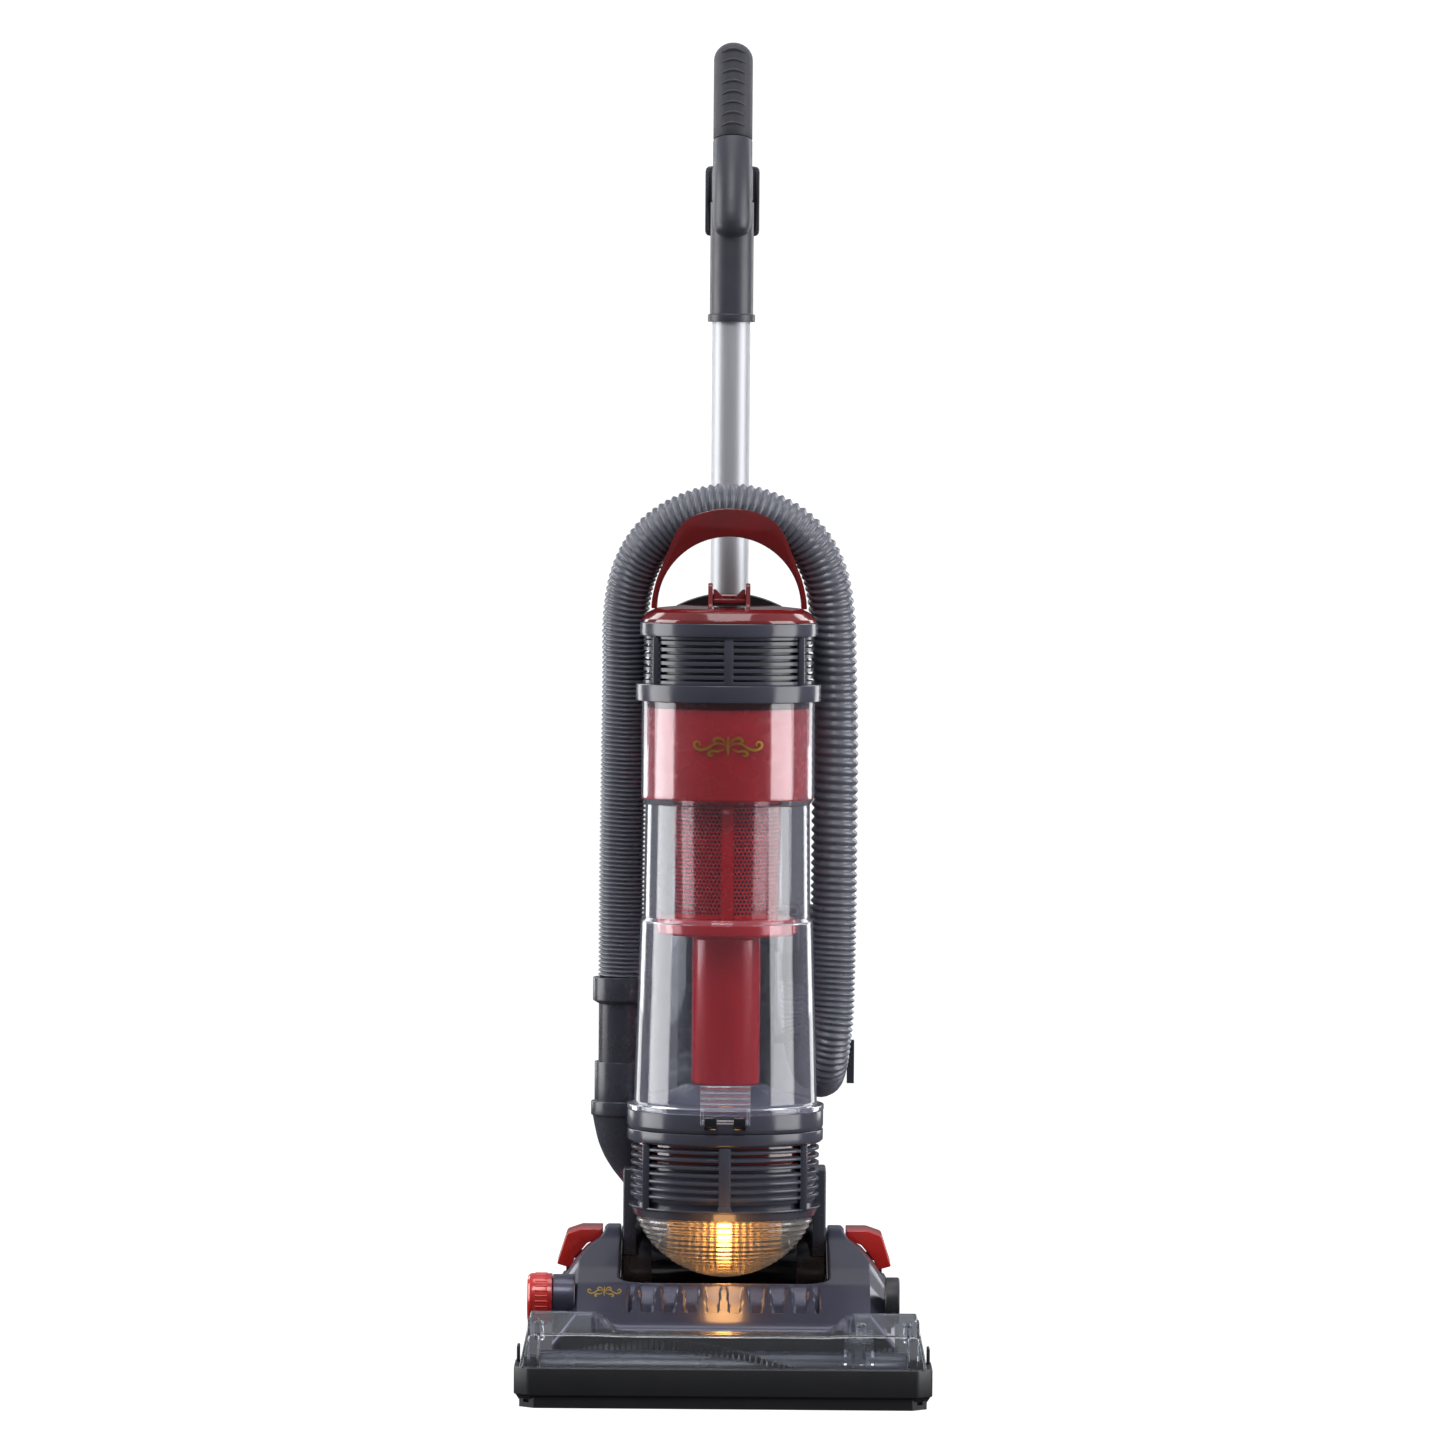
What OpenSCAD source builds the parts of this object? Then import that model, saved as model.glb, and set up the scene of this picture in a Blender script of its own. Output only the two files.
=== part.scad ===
// Upright bagless vacuum cleaner, standing upright and locked.
// X is the viewer's right, Y points to the back, Z is up. The origin is on the
// floor, in the middle of the object's outline.

/* [Overall] */
// Width across the bumper of the cleaning head
head_w = 340; // [280:1:410]
// Depth from the head's front edge to the upper cord hook's back face
depth = 344; // [330:1:415]

/* [Cleaning head] */
// Thickness of the soleplate
sole_t = 4; // [3:0.5:6]
// Wall thickness of the cover and the window
shell_t = 2.5; // [1.5:0.5:3.5]
// Height of the bumper band
bumper_h = 23; // [18:1:26]
// Thickness of the bumper
bumper_t = 4; // [3:0.5:5]
// Radius of the brush roll's dowel
dowel_r = 17; // [14:0.5:19]
// Radius to the tips of the bristles
bristle_r = 26; // [21:0.5:26.5]
// Radius of the belt groove on the brush roll
groove_r = 12; // [9:0.5:13]
// Radius of the motor pulley
pulley_r = 8; // [6:0.5:9]
// Width of the drive belt
belt_w = 8; // [6:0.5:9]
// Thickness of the drive belt
belt_t = 2.2; // [1.5:0.1:3]
// Radius of the brush motor
brush_motor_r = 17.5; // [14:0.5:18]
// Radius of the rear wheels
wheel_r = 32; // [26:0.5:34]
// Width of a rear wheel's tyre
wheel_w = 25; // [20:0.5:27]
// Radius of the rear wheels' stub axles
axle_r = 4; // [3:0.5:6]
// Radius of the front rollers
roller_r = 9; // [7:0.5:10]
// Radius of the height knob
knob_r = 21.25; // [16:0.25:24]
// How far the front rollers drop at the knob's highest setting
lift = 6; // [3:0.5:8]

/* [Pivot] */
// Height of the recline pivot above the floor
pivot_z = 100; // [95:1:120]
// Radius of the pivot's trunnions
trunnion_r = 14; // [12:0.5:16]
// Radius of the air way through the left trunnion
airway_r = 10.5; // [8:0.5:11]

/* [Motor housing] */
// Radius of the vent grille
vent_r = 78.4; // [74:0.2:80]
// Height of the vent grille
vent_h = 53.9; // [45:0.1:66]
// Radius of the deck that carries the bin
deck_r = 81.5; // [80:0.5:82]
// Radius of the headlight's bowl
bowl_r = 80; // [78:0.5:84]
// Radius of the suction motor
motor_r = 45; // [38:1:50]

/* [Dust bin] */
// Radius of the bin at its floor
bin_floor_r = 76.1; // [74:0.1:78]
// Radius of the bin at the top of its lower section
bin_mid_r = 71.5; // [69:0.1:74]
// Radius of the bin's neck
bin_neck_r = 68.5; // [66:0.1:71]
// Radius of the bin's upper band
bin_top_r = 72; // [70:0.1:74]
// Wall thickness of the bin
bin_t = 2.5; // [1.5:0.1:3]
// Height of the bin's lower section
low_h = 153.4; // [120:0.1:190]
// Height of the bin's neck
neck_h = 98; // [80:1:120]
// Height of the bin's upper band
band_h = 83; // [70:1:100]
// Radius of the perforated shroud at its foot
shroud_r = 43; // [36:0.5:50]
// Radius of the dirt skirt under the shroud
skirt_r = 59; // [54:0.5:62]
// Radius of the tube below the skirt
inner_tube_r = 28.5; // [26:0.5:32]

/* [Lid] */
// Radius of the filter cage
cage_r = 70.8; // [66:0.1:74]
// Height of the filter cage
cage_h = 40; // [30:1:48]
// Radius of the lid
lid_r = 74; // [72:0.5:74.5]
// Radius of the hand gap under the carry handle
arch_r = 60; // [54:0.5:61]
// Width of the carry handle, front to back
arch_w = 44; // [36:1:50]

/* [Spine and wand] */
// Width of the spine
spine_w = 84; // [72:1:90]
// Radius of the wand tube
tube_r = 16; // [14:0.1:17]
// Wall thickness of the wand tube
tube_t = 1.2; // [0.8:0.1:2]
// Length of the wand tube
tube_len = 460; // [380:1:560]
// How deep the wand stands in its socket
socket_h = 186; // [120:1:210]
// Radius of the wand's collar
collar_r = 18.3; // [17:0.1:20]

/* [Handle] */
// Radius of the handle's bar
bar_r = 16.5; // [14.5:0.1:18]
// Radius of the core under the rubber grip
core_r = 13; // [11:0.1:14]
// Length of the handle from its knee to its tip
bar_len = 152.4; // [130:0.1:180]
// Share of the bar that is bare, below the grip
bare_share = 0.47; // [0.35:0.01:0.6]

/* [Hose] */
// Radius of the hose
hose_r = 19.5; // [16:0.1:19.5]

/* [Fits] */
// Radial clearance of a part that turns or slides in another
run_gap = 0.05; // [0.02:0.01:0.1]
// Gap between parts that move past each other
part_gap = 0.3; // [0.2:0.05:0.5]
// Gap between parts that are assembled together
seat_gap = 0.05; // [0.02:0.01:0.1]

/* [Hidden] */
$fn = 96;
far = 1000;

// Front and back planes, and the places that hang on them
half_w = head_w / 2;
front_y = -depth / 2;
back_y = depth / 2;
wand_y = back_y - 52;
pivot_y = wand_y - 45;
bin_y = wand_y - 102;
brush_y = front_y + 35;
brush_z = bristle_r + 1;

// Heights, from the floor up
band_z = pivot_z + 42;
lip_h = 7.6;
vent_z = band_z + lip_h;
deck_z = vent_z + vent_h;
deck_h = 10.5;
deck_top = deck_z + deck_h;
door_z = deck_top + part_gap;
door_h = 15.7;
rim_z = door_z + door_h;
rim_h = 4.6;
rim_r = bin_floor_r + 5.8;
low_z = rim_z + rim_h;
neck_z = low_z + low_h;
sleeve_z = neck_z + neck_h;
bin_top = sleeve_z + band_h;
ring_h = 14;
ring_top = bin_top + ring_h;
cage_top = ring_top + cage_h;
lid_h = 11;
lid_top = cage_top + lid_h;
dome_h = 14;
arch_z = lid_top + 11;
cap_top = lid_top + 22;
spine_top = cap_top - 46;
cap_gap = 0.4;
tube_z = cap_top - socket_h;
collar_z = tube_z + tube_len - 46;
collar_h = 101;
knee_z = collar_z + 84;
lean = 16;

// Cleaning head
bumper_z = 10;
window_z = bumper_z + bumper_h;
cover_w = half_w - 30;
cover_top = pivot_z + 28;
notch_w = 86.3;
notch_y = bin_y - 87;
head_back = pivot_y + 43;
tray_w = cover_w - shell_t - 0.6;
chamber_y = brush_y + bristle_r + 2.5;
motor_y = chamber_y + 2.5 + brush_motor_r + 1;
motor_z = 40;
belt_x = cover_w - 30;
knob_y = front_y + 90;
knob_z = 80;
knob_shaft_r = 4;
knob_lobe_r = 4.5;
wheel_x = cover_w - 17.5;
wheel_y = pivot_y + 20;
roller_y = notch_y + 19;
bracket_x = 90;
bracket_t = 10;
pedal_x = cover_w - 38;
pedal_w = 41;
pedal_y = pivot_y - 15;
pedal_l = 52;
pedal_z = pivot_z + 4;
pan_z = 56;
pan_t = 4;

// Spine
spine_y = bin_y + deck_r + 0.7;
spine_back = wand_y + 30;
clip_z = 275;
clip_y = wand_y - 16;
elbow_x = 68;
elbow_y = wand_y + 28;
elbow_z = 325;
elbow_r = hose_r + 2;
port_x = -88;
port_y = wand_y - 40;
port_z = pivot_z + 119;
inlet_z = sleeve_z + 44;

// Middle line of the hose, from the cuff over the carry handle to the inlet elbow
hose_path = [
    [-88, 80, 335], [-88, 80, 360], [-88, 79, 420], [-87.5, 76, 480],
    [-87, 72, 540], [-86.5, 67, 590], [-86, 60, 640], [-78.5, 51, 677],
    [-60.5, 42, 705.5], [-32, 37, 723.5], [0, 36, 730], [32, 37, 723.5],
    [60.5, 42, 705.5], [78.5, 51, 677], [86, 60, 640], [88, 67, 590],
    [89.5, 71, 540], [89.5, 73, 480], [89.5, 74, 420], [89, 74, 360],
    [88, 73, 310], [86, 75, 285], [83, 86, 263], [79.5, 110, 252],
    [74, 134, 262], [69.5, 146, 286], [68, 148, 310], [68, 148, 325]];

// ---- shared shapes ----

// A box given by its low and high corners
module block(low, high) {
    translate(low) cube(high - low);
}

// A cylinder along X from x0 to x1, centred on y and z
module xrod(x0, x1, y, z, r) {
    translate([min(x0, x1), y, z]) rotate([0, 90, 0]) cylinder(h = abs(x1 - x0), r = r);
}

// A cylinder along Y from y0 to y1, centred on x and z
module yrod(y0, y1, x, z, r) {
    translate([x, min(y0, y1), z]) rotate([-90, 0, 0]) cylinder(h = abs(y1 - y0), r = r);
}

// An upright tube round the axis at x, y
module tube(z0, z1, outer, inner, x = 0, y = bin_y) {
    translate([x, y, z0]) difference() {
        cylinder(h = z1 - z0, r = outer);
        translate([0, 0, -1]) cylinder(h = z1 - z0 + 2, r = inner);
    }
}

// A Y-Z outline pulled out along X between x0 and x1
module along_x(x0, x1) {
    translate([x0, 0, 0]) rotate([90, 0, 90]) linear_extrude(height = x1 - x0) children();
}

// An X-Z outline pulled out along Y between y0 and y1
module along_y(y0, y1) {
    translate([0, y1, 0]) rotate([90, 0, 0]) linear_extrude(height = y1 - y0) children();
}

// The same piece on both sides of the middle plane
module both_sides() {
    children();
    mirror([1, 0, 0]) children();
}

// ---- cleaning head ----

// Plan of the head's front part, grown outwards by g
module front_plan(w, g = 0) {
    polygon([[-w - g, 0], [-w - g, front_y + 15 - g / 2], [-w + 12 - g / 2, front_y + 3 - g],
             [w - 12 + g / 2, front_y + 3 - g], [w + g, front_y + 15 - g / 2], [w + g, 0]]);
}

// Plan of the notch between the humps, shrunk by g
module notch_plan(g = 0) {
    w = notch_w - g;
    y = notch_y + g;
    r = 20 - g;
    translate([-w, y + r]) square([2 * w, head_back - y - r + 20]);
    translate([-w + r, y]) square([2 * w - 2 * r, r + 1]);
    for (s = [-1, 1]) translate([s * (w - r), y + r]) circle(r);
}

// Side outline of the cover, shrunk inwards by g
module cover_side(g = 0) {
    polygon([[front_y + 35 + g, 20 - g], [front_y + 35 + g, 62 - g], [front_y + 60 + g / 2, 74 - g],
             [front_y + 100, 92 - g], [notch_y + 49, pivot_z - g], [pivot_y - 31, pivot_z + 20 - g],
             [pivot_y - 17, cover_top - g], [pivot_y + 11, cover_top - g],
             [pivot_y + 29 - g / 2, cover_top - 10 - g / 2],
             [head_back - g, pivot_z - 8 - g / 2], [head_back - g, 20 - g]]);
}

// Front outline of the cover, shrunk inwards by g
module cover_front(g = 0) {
    w = cover_w - g;
    polygon([[-w, 10], [-w, 70], [-w + 3, pivot_z - 5 - g / 2], [-w + 24, cover_top - 11 - g / 2],
             [-w + 33, cover_top - g], [w - 33, cover_top - g], [w - 24, cover_top - 11 - g / 2],
             [w - 3, pivot_z - 5 - g / 2], [w, 70], [w, 10]]);
}

module cover_solid(g = 0) {
    intersection() {
        along_x(-cover_w, cover_w) cover_side(g);
        along_y(front_y, head_back) cover_front(g);
    }
}

module head_base() color("#2b2b30") {
    wall = 3;
    difference() {
        union() {
            linear_extrude(height = bumper_z - seat_gap) intersection() {
                front_plan(half_w - 7);
                translate([-half_w, front_y]) square([head_w, chamber_y + wall - front_y]);
            }
            linear_extrude(height = window_z) intersection() {
                front_plan(half_w - bumper_t - 0.5);
                translate([-half_w, front_y]) square([head_w, chamber_y + wall - front_y]);
            }
            block([-tray_w, chamber_y, 0], [tray_w, wheel_y - wheel_r - 8, 20]);
            block([-104, chamber_y, 0], [104, head_back - shell_t - 1, 20]);
        }
        // hollow of the brush chamber
        block([-half_w + bumper_t + 4, front_y + 7, sole_t], [half_w - bumper_t - 4, chamber_y, far]);
        // hollow of the tray behind it
        block([-tray_w + wall, chamber_y + wall, sole_t], [tray_w - wall, wheel_y - wheel_r - 11, far]);
        block([-101, chamber_y + wall, sole_t], [101, head_back - shell_t - 4, far]);
        // mouth over the floor
        block([-half_w + 20, brush_y - 23, -1], [half_w - 20, brush_y + 23, sole_t + 1]);
        // gap for the roller carriage
        block([-77, roller_y - 15, -1], [77, roller_y + 15, sole_t + 1]);
        // way out of the brush chamber into the duct, and the belt's gap
        block([-60, chamber_y - 1, 30], [-36, chamber_y + wall + 1, 50]);
        block([belt_x - 7, chamber_y - 1, 12], [belt_x + 7, chamber_y + wall + 1, far]);
    }
    // wall between the brush chamber and the motor bay
    difference() {
        block([-tray_w, chamber_y, window_z - 1], [tray_w, chamber_y + wall, 60]);
        block([-60, chamber_y - 1, 30], [-36, chamber_y + wall + 1, 50]);
        block([belt_x - 7, chamber_y - 1, 12], [belt_x + 7, chamber_y + wall + 1, 54]);
    }
    // cradle of the brush motor
    for (x = [belt_x - 78, belt_x - 38]) difference() {
        block([x, chamber_y + wall - 0.1, sole_t - 0.1], [x + 6, motor_y + 12, motor_z - 6]);
        xrod(x - 1, x + 7, motor_y, motor_z, brush_motor_r + seat_gap);
    }
    // pivot brackets, and the guards over the rear wheels
    both_sides() difference() {
        union() {
            block([bracket_x, pivot_y - 19, sole_t - 0.1], [bracket_x + bracket_t, pivot_y + 19, pivot_z + 18]);
            block([bracket_x, pivot_y - 19, wheel_r * 2 + 2], [tray_w - 1, pivot_y + 39, wheel_r * 2 + 5]);
            for (x = [pedal_x + 15, pedal_x + 27])
                block([x, pedal_y, wheel_r * 2 + 4], [x + 3, pedal_y + 9, pedal_z + 1]);
        }
        xrod(0, half_w, pivot_y, pivot_z, trunnion_r + run_gap);
        xrod(0, 105, wheel_y, wheel_r, axle_r + 2.2);
    }
    // hinge pins of the pedals
    both_sides() xrod(pedal_x + 15, pedal_x + 30, pedal_y + 4.5, pedal_z, 3);
    // hubs of the rear axles
    both_sides() difference() {
        xrod(100.9, wheel_x - wheel_w / 2 - 1, wheel_y, wheel_r, 9);
        xrod(90, wheel_x, wheel_y, wheel_r, axle_r + seat_gap);
    }
    both_sides() difference() {
        block([95, wheel_y - 14, sole_t - 0.1], [101, wheel_y + 14, wheel_r + 12]);
        xrod(90, wheel_x, wheel_y, wheel_r, axle_r + seat_gap);
    }
}

module bumper() color("#1d1d20") {
    difference() {
        translate([0, 0, bumper_z]) linear_extrude(height = bumper_h) intersection() {
            polygon([[-half_w, 0], [-half_w, front_y + 12], [-half_w + 12, front_y],
                     [half_w - 12, front_y], [half_w, front_y + 12], [half_w, 0]]);
            translate([-half_w, front_y]) square([head_w, 68]);
        }
        translate([0, 0, -1]) linear_extrude(height = far) front_plan(half_w - bumper_t - 0.4);
    }
    both_sides() block([half_w - bumper_t, front_y + 47, window_z - 1], [half_w - 1.5, front_y + 68, window_z + 13]);
}

module head_cover() color("#3c3c4b") {
    difference() {
        cover_solid(0);
        translate([0, 0, -1]) linear_extrude(height = far) notch_plan(0);
        difference() {
            cover_solid(shell_t);
            translate([0, 0, -1]) linear_extrude(height = far) notch_plan(-shell_t);
        }
        // open underside, and the seat of the window's ends
        block([-half_w, front_y, -1], [half_w, head_back + 1, 21]);
        both_sides() block([88, front_y, 0], [half_w, front_y + 53, far]);
        block([-half_w, front_y + 20, 0], [half_w, chamber_y + 4, 61]);
        // the notch's walls stop above the duct, the motor and the carriage
        block([-notch_w - shell_t - 1, notch_y - shell_t - 1, 0],
              [notch_w + shell_t + 1, pivot_y - 20, pan_z - 1.5]);
        // holes for the trunnions and the knob's shaft
        xrod(-cover_w + 12, cover_w - 12, pivot_y, pivot_z, trunnion_r + 1.5);
        xrod(-half_w, -cover_w + 20, knob_y, knob_z, knob_shaft_r + run_gap);
        // wheel arches and pedal wells
        both_sides() {
            xrod(wheel_x - wheel_w / 2 - 3, half_w, wheel_y, wheel_r, wheel_r + 2.5);
            block([wheel_x - wheel_w / 2 - 3, wheel_y, 0], [cover_w - shell_t, head_back + 1, wheel_r * 2 + 6]);
            block([pedal_x - 0.8, pedal_y - 1.2, pedal_z - 20], [half_w, pedal_y + pedal_l + 3, far]);
        }
    }
}

module cover_pan() color("#151518") {
    difference() {
        union() {
            translate([0, 0, pan_z]) linear_extrude(height = pan_t) intersection() {
                notch_plan(part_gap);
                translate([-half_w, -far]) square([head_w, far + head_back]);
            }
            block([-80, head_back - shell_t, 20.1], [80, head_back, pan_z + 1]);
        }
        block([belt_x - 12, notch_y - 5, 0], [belt_x + 12, notch_y + 2, far]);
    }
}

// Side outline of the window, shrunk inwards by g
module window_side(g = 0) {
    polygon([[front_y + 3 + g, window_z + seat_gap - g], [front_y + 13 + g, 61 - g / 2],
             [front_y + 50 - g, 76 - g], [front_y + 50 - g, 62 - g], [front_y + 40, 56 - 2 * g],
             [front_y + 40, window_z + seat_gap - g]]);
}

module brush_window() color("#dfe6ec", 0.35) {
    w = half_w - 4.5;
    difference() {
        intersection() {
            along_x(-w, w) window_side(0);
            along_y(front_y, 0) polygon([[-w, window_z], [-w + 8.5, 77], [w - 8.5, 77], [w, window_z]]);
        }
        intersection() {
            along_x(-w, w) union() {
                window_side(shell_t);
                translate([front_y + 3 + shell_t, 20]) square([40, 15]);
            }
            along_y(front_y, 0) polygon([[-w + shell_t, 0], [-w + shell_t, window_z], [-w + 8.5 + shell_t, 77],
                                         [w - 8.5 - shell_t, 77], [w - shell_t, window_z], [w - shell_t, 0]]);
        }
        // lower rear edge stays open to the chamber, and the cover's nose dips in
        block([-w + 9, front_y + 38, 0], [w - 9, far, 60]);
        block([-88.5, front_y + 34.5, 0], [88.5, 0, far]);
    }
}

module belt_guard() color("#cfd4da", 0.5) {
    x0 = belt_x - 12;
    x1 = belt_x + 12;
    difference() {
        along_x(x0, x1) polygon([[front_y + 9, 36], [front_y + 17, 54], [front_y + 32, 59.5],
                                 [chamber_y - 0.2, 59.5], [chamber_y - 0.2, 36]]);
        along_x(x0 + 2, x1 - 2) polygon([[front_y + 11, 34], [front_y + 18.5, 52], [front_y + 33, 57.5],
                                         [chamber_y + 2, 57.5], [chamber_y + 2, 34]]);
        xrod(x0 - 1, x1 + 1, brush_y, brush_z, dowel_r + 1);
    }
}

module brush_bearings() color("#8b8b90") both_sides() difference() {
    block([half_w - 17.5, brush_y - 11, sole_t + seat_gap], [half_w - 8.5, brush_y + 11, brush_z + 12]);
    xrod(half_w - 19, half_w - 7, brush_y, brush_z, 4 + run_gap);
}

module brush_motor() color("#9a9aa0") {
    x1 = belt_x - 24;
    xrod(x1 - 58, x1, motor_y, motor_z, brush_motor_r);
    difference() {
        xrod(x1, x1 + 8, motor_y, motor_z, 9);
        xrod(x1 + 0.5, x1 + 9, motor_y, motor_z, 2.5 + run_gap);
    }
}

module motor_pulley() color("#777780") {
    x1 = belt_x - 24;
    xrod(x1 + 1, belt_x + 6, motor_y, motor_z, 2.5);
    xrod(belt_x - belt_w / 2, belt_x + belt_w / 2, motor_y, motor_z, pulley_r);
    for (x = [belt_x - belt_w / 2 - 2, belt_x + belt_w / 2]) xrod(x, x + 2, motor_y, motor_z, pulley_r + 1.6);
}

// Loop of the belt as a flat outline, with radii grown by g
module belt_outline(g) {
    hull() {
        translate([brush_y, brush_z]) circle(groove_r + g, $fn = 48);
        translate([motor_y, motor_z]) circle(pulley_r + g, $fn = 48);
    }
}

module drive_belt() color("#141414") {
    x0 = belt_x - belt_w / 2 + 0.6;
    difference() {
        along_x(x0, x0 + belt_w - 1.2) belt_outline(part_gap + belt_t);
        along_x(x0 - 1, x0 + belt_w) belt_outline(part_gap);
    }
}

module duct_run(g) {
    block([-60 + g, chamber_y + 3.1 - 3 * g, 28 + g], [-36 - g, pivot_y - 21 - g, 52 - g]);
    block([-112 + g, pivot_y - 45 + g, 28 + g], [-36 - g, pivot_y - 21 - g, 52 - g]);
    block([-112 + g, pivot_y - 45 + g, 28 + g], [-101.5 - g, pivot_y - 21 - g, pivot_z + 12 - g]);
    block([-112 + g, pivot_y - 45 + g, pivot_z - 12 + g], [-101.5 - g, pivot_y + 15 - g, pivot_z + 12 - g]);
}

module suction_duct() color("#26262b") difference() {
    duct_run(0);
    duct_run(1.8);
    xrod(-104, -101, pivot_y, pivot_z, airway_r);
}

module side_cap() color("#1b1b1e") difference() {
    xrod(cover_w - 5, cover_w + 4, knob_y, knob_z, 20);
    cover_solid(-seat_gap);
}

module wheel_axles() color("#b0b0b4") both_sides() {
    xrod(94, wheel_x + wheel_w / 2 + 0.8, wheel_y, wheel_r, axle_r);
    xrod(92, 94, wheel_y, wheel_r, axle_r + 2);
}

module brush_dowel() color("#3a3f4c") {
    end = half_w - 20;
    xrod(-end, belt_x - belt_w / 2 - 1, brush_y, brush_z, dowel_r);
    xrod(belt_x - belt_w / 2 - 1.1, belt_x + belt_w / 2 + 1.1, brush_y, brush_z, groove_r);
    xrod(belt_x + belt_w / 2 + 1, end, brush_y, brush_z, dowel_r);
    xrod(-end - 10.5, end + 10.5, brush_y, brush_z, 4);
}

// Tufts in two rows that wind round the dowel and leave the belt's place free
module brush_bristles() color("#1a1a1d") {
    count = 18;
    step = (head_w - 56) / (count - 1);
    for (row = [0, 180], i = [0:count - 1]) {
        x = -half_w + 28 + i * step;
        if (abs(x - belt_x) > 17)
            translate([x, brush_y, brush_z]) rotate([row + i * 17, 0, 0])
                block([-3.5, -2, dowel_r - 0.5], [3.5, 2, bristle_r]);
    }
}

module wheel_carriage() color("#2d2d32") {
    block([-74, roller_y - 12, roller_r * 2 + 1], [74, roller_y + 12, roller_r * 2 + 5]);
    for (x = [-74, -47, 44, 71])
        block([x, roller_y - 6, roller_r - 4], [x + 3, roller_y + 6, roller_r * 2 + 2]);
    for (x = [-73, 45]) xrod(x, x + 28, roller_y, roller_r, 2.5);
    block([-cover_w + 9, roller_y - 12, roller_r * 2 + 1], [-73, roller_y - 4, roller_r * 2 + 5]);
    block([-cover_w + 9, knob_y - 6, roller_r * 2 + 1], [-cover_w + 17, roller_y - 4, roller_r * 2 + 5]);
    block([-cover_w + 9, knob_y - 6, roller_r * 2 + 4], [-cover_w + 17, knob_y + 6, knob_z - knob_lobe_r - lift * 0.27]);
}

module front_rollers() color("#404046") for (x = [-69, 49]) difference() {
    xrod(x, x + 20, roller_y, roller_r, roller_r);
    xrod(x - 1, x + 21, roller_y, roller_r, 2.5 + run_gap);
}

module height_knob() color("#c4231f") {
    xrod(-cover_w - 21, -cover_w - part_gap, knob_y, knob_z, knob_r);
    xrod(-cover_w - 1, -cover_w + 18, knob_y, knob_z, knob_shaft_r);
    // lobe that pushes the carriage down as the knob turns
    xrod(-cover_w + 9, -cover_w + 17, knob_y + lift, knob_z, knob_lobe_r);
    block([-cover_w + 9, knob_y, knob_z - knob_shaft_r], [-cover_w + 17, knob_y + lift, knob_z + knob_shaft_r]);
}

module wheel(side) difference() {
    union() {
        xrod(side * (wheel_x - wheel_w / 2), side * (wheel_x + wheel_w / 2), wheel_y, wheel_r, wheel_r - 2);
        xrod(side * (wheel_x - wheel_w / 2 + 3), side * (wheel_x + wheel_w / 2 - 3), wheel_y, wheel_r, wheel_r);
    }
    xrod(side * 90, side * half_w, wheel_y, wheel_r, axle_r + run_gap);
}

module wheel_left() color("#232326") wheel(-1);
module wheel_right() color("#232326") wheel(1);

// A foot pedal on the right-hand side: a curved plate with a skirt outside
module pedal() difference() {
    union() {
        along_y(pedal_y, pedal_y + pedal_l) polygon([
            [pedal_x, pedal_z + 14], [pedal_x, pedal_z + 21], [pedal_x + 14, pedal_z + 21],
            [pedal_x + 35, pedal_z + 8], [pedal_x + pedal_w, pedal_z - 6], [pedal_x + pedal_w, pedal_z - 12],
            [pedal_x + pedal_w - 4, pedal_z - 12], [pedal_x + 31, pedal_z + 3], [pedal_x + 12, pedal_z + 14]]);
        xrod(pedal_x + 19, pedal_x + 26, pedal_y + 4.5, pedal_z, 4.4);
        block([pedal_x + 19, pedal_y + 0.5, pedal_z], [pedal_x + 26, pedal_y + 8.5, pedal_z + 12]);
    }
    xrod(0, half_w + 20, pedal_y + 4.5, pedal_z, 3 + run_gap);
}

module release_pedal() color("#c4231f") mirror([1, 0, 0]) pedal();
module power_pedal() color("#c4231f") pedal();

// ---- motor housing ----

// The part of the housing's side that the grille covers
module grille_side() block([-far, -far, -far], [far, bin_y + 24, far]);

module lower_housing() color("#4a4a50") {
    difference() {
        union() {
            tube(band_z, vent_z, vent_r - 2.1, 12);
            tube(vent_z - 1, deck_z + 1, 58, 55.5);
            tube(deck_z, deck_top, deck_r, 18);
            difference() {
                tube(vent_z - 1, deck_z + 1, vent_r, vent_r - 3);
                translate([0, seat_gap, 0]) grille_side();
            }
            intersection() {
                block([-38, bin_y + 50, band_z], [38, back_y, deck_top]);
                tube(band_z, deck_top, deck_r + 0.7 - seat_gap, 57);
            }
        }
        // ways for the exhaust out of the motor chamber
        for (a = [0:45:315]) translate([0, bin_y, 0]) rotate(a) block([50, -7, vent_z + 6], [60, 7, deck_z - 12]);
    }
}

module vent_grille() color("#3d3d43") {
    count = 8;
    pitch = vent_h / count;
    intersection() {
        union() {
            for (i = [0:count - 1]) tube(vent_z + seat_gap + i * pitch, vent_z + i * pitch + 2.6, vent_r, vent_r - 4);
            tube(vent_z + seat_gap, vent_z + vent_h * 0.56, vent_r - 2.6, vent_r - 4);
            intersection() {
                tube(vent_z + seat_gap, deck_z - seat_gap, vent_r, vent_r - 4);
                union() {
                    block([-4.75, -far, 0], [4.75, bin_y, far]);
                    for (x = [-62, 62]) block([x - 3, -far, 0], [x + 3, bin_y, far]);
                    block([-far, bin_y + 17, 0], [far, bin_y + 24, far]);
                }
            }
        }
        grille_side();
    }
}

// Shell of the bowl under the housing: a cap of a sphere that meets the band
module bowl() {
    top = vent_r - 3.4;
    centre_z = band_z + sqrt(bowl_r * bowl_r - top * top);
    intersection() {
        difference() {
            translate([0, bin_y, centre_z]) sphere(bowl_r);
            translate([0, bin_y, centre_z]) sphere(bowl_r - shell_t);
        }
        block([-far, -far, 0], [far, far, band_z - seat_gap]);
    }
}

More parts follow.
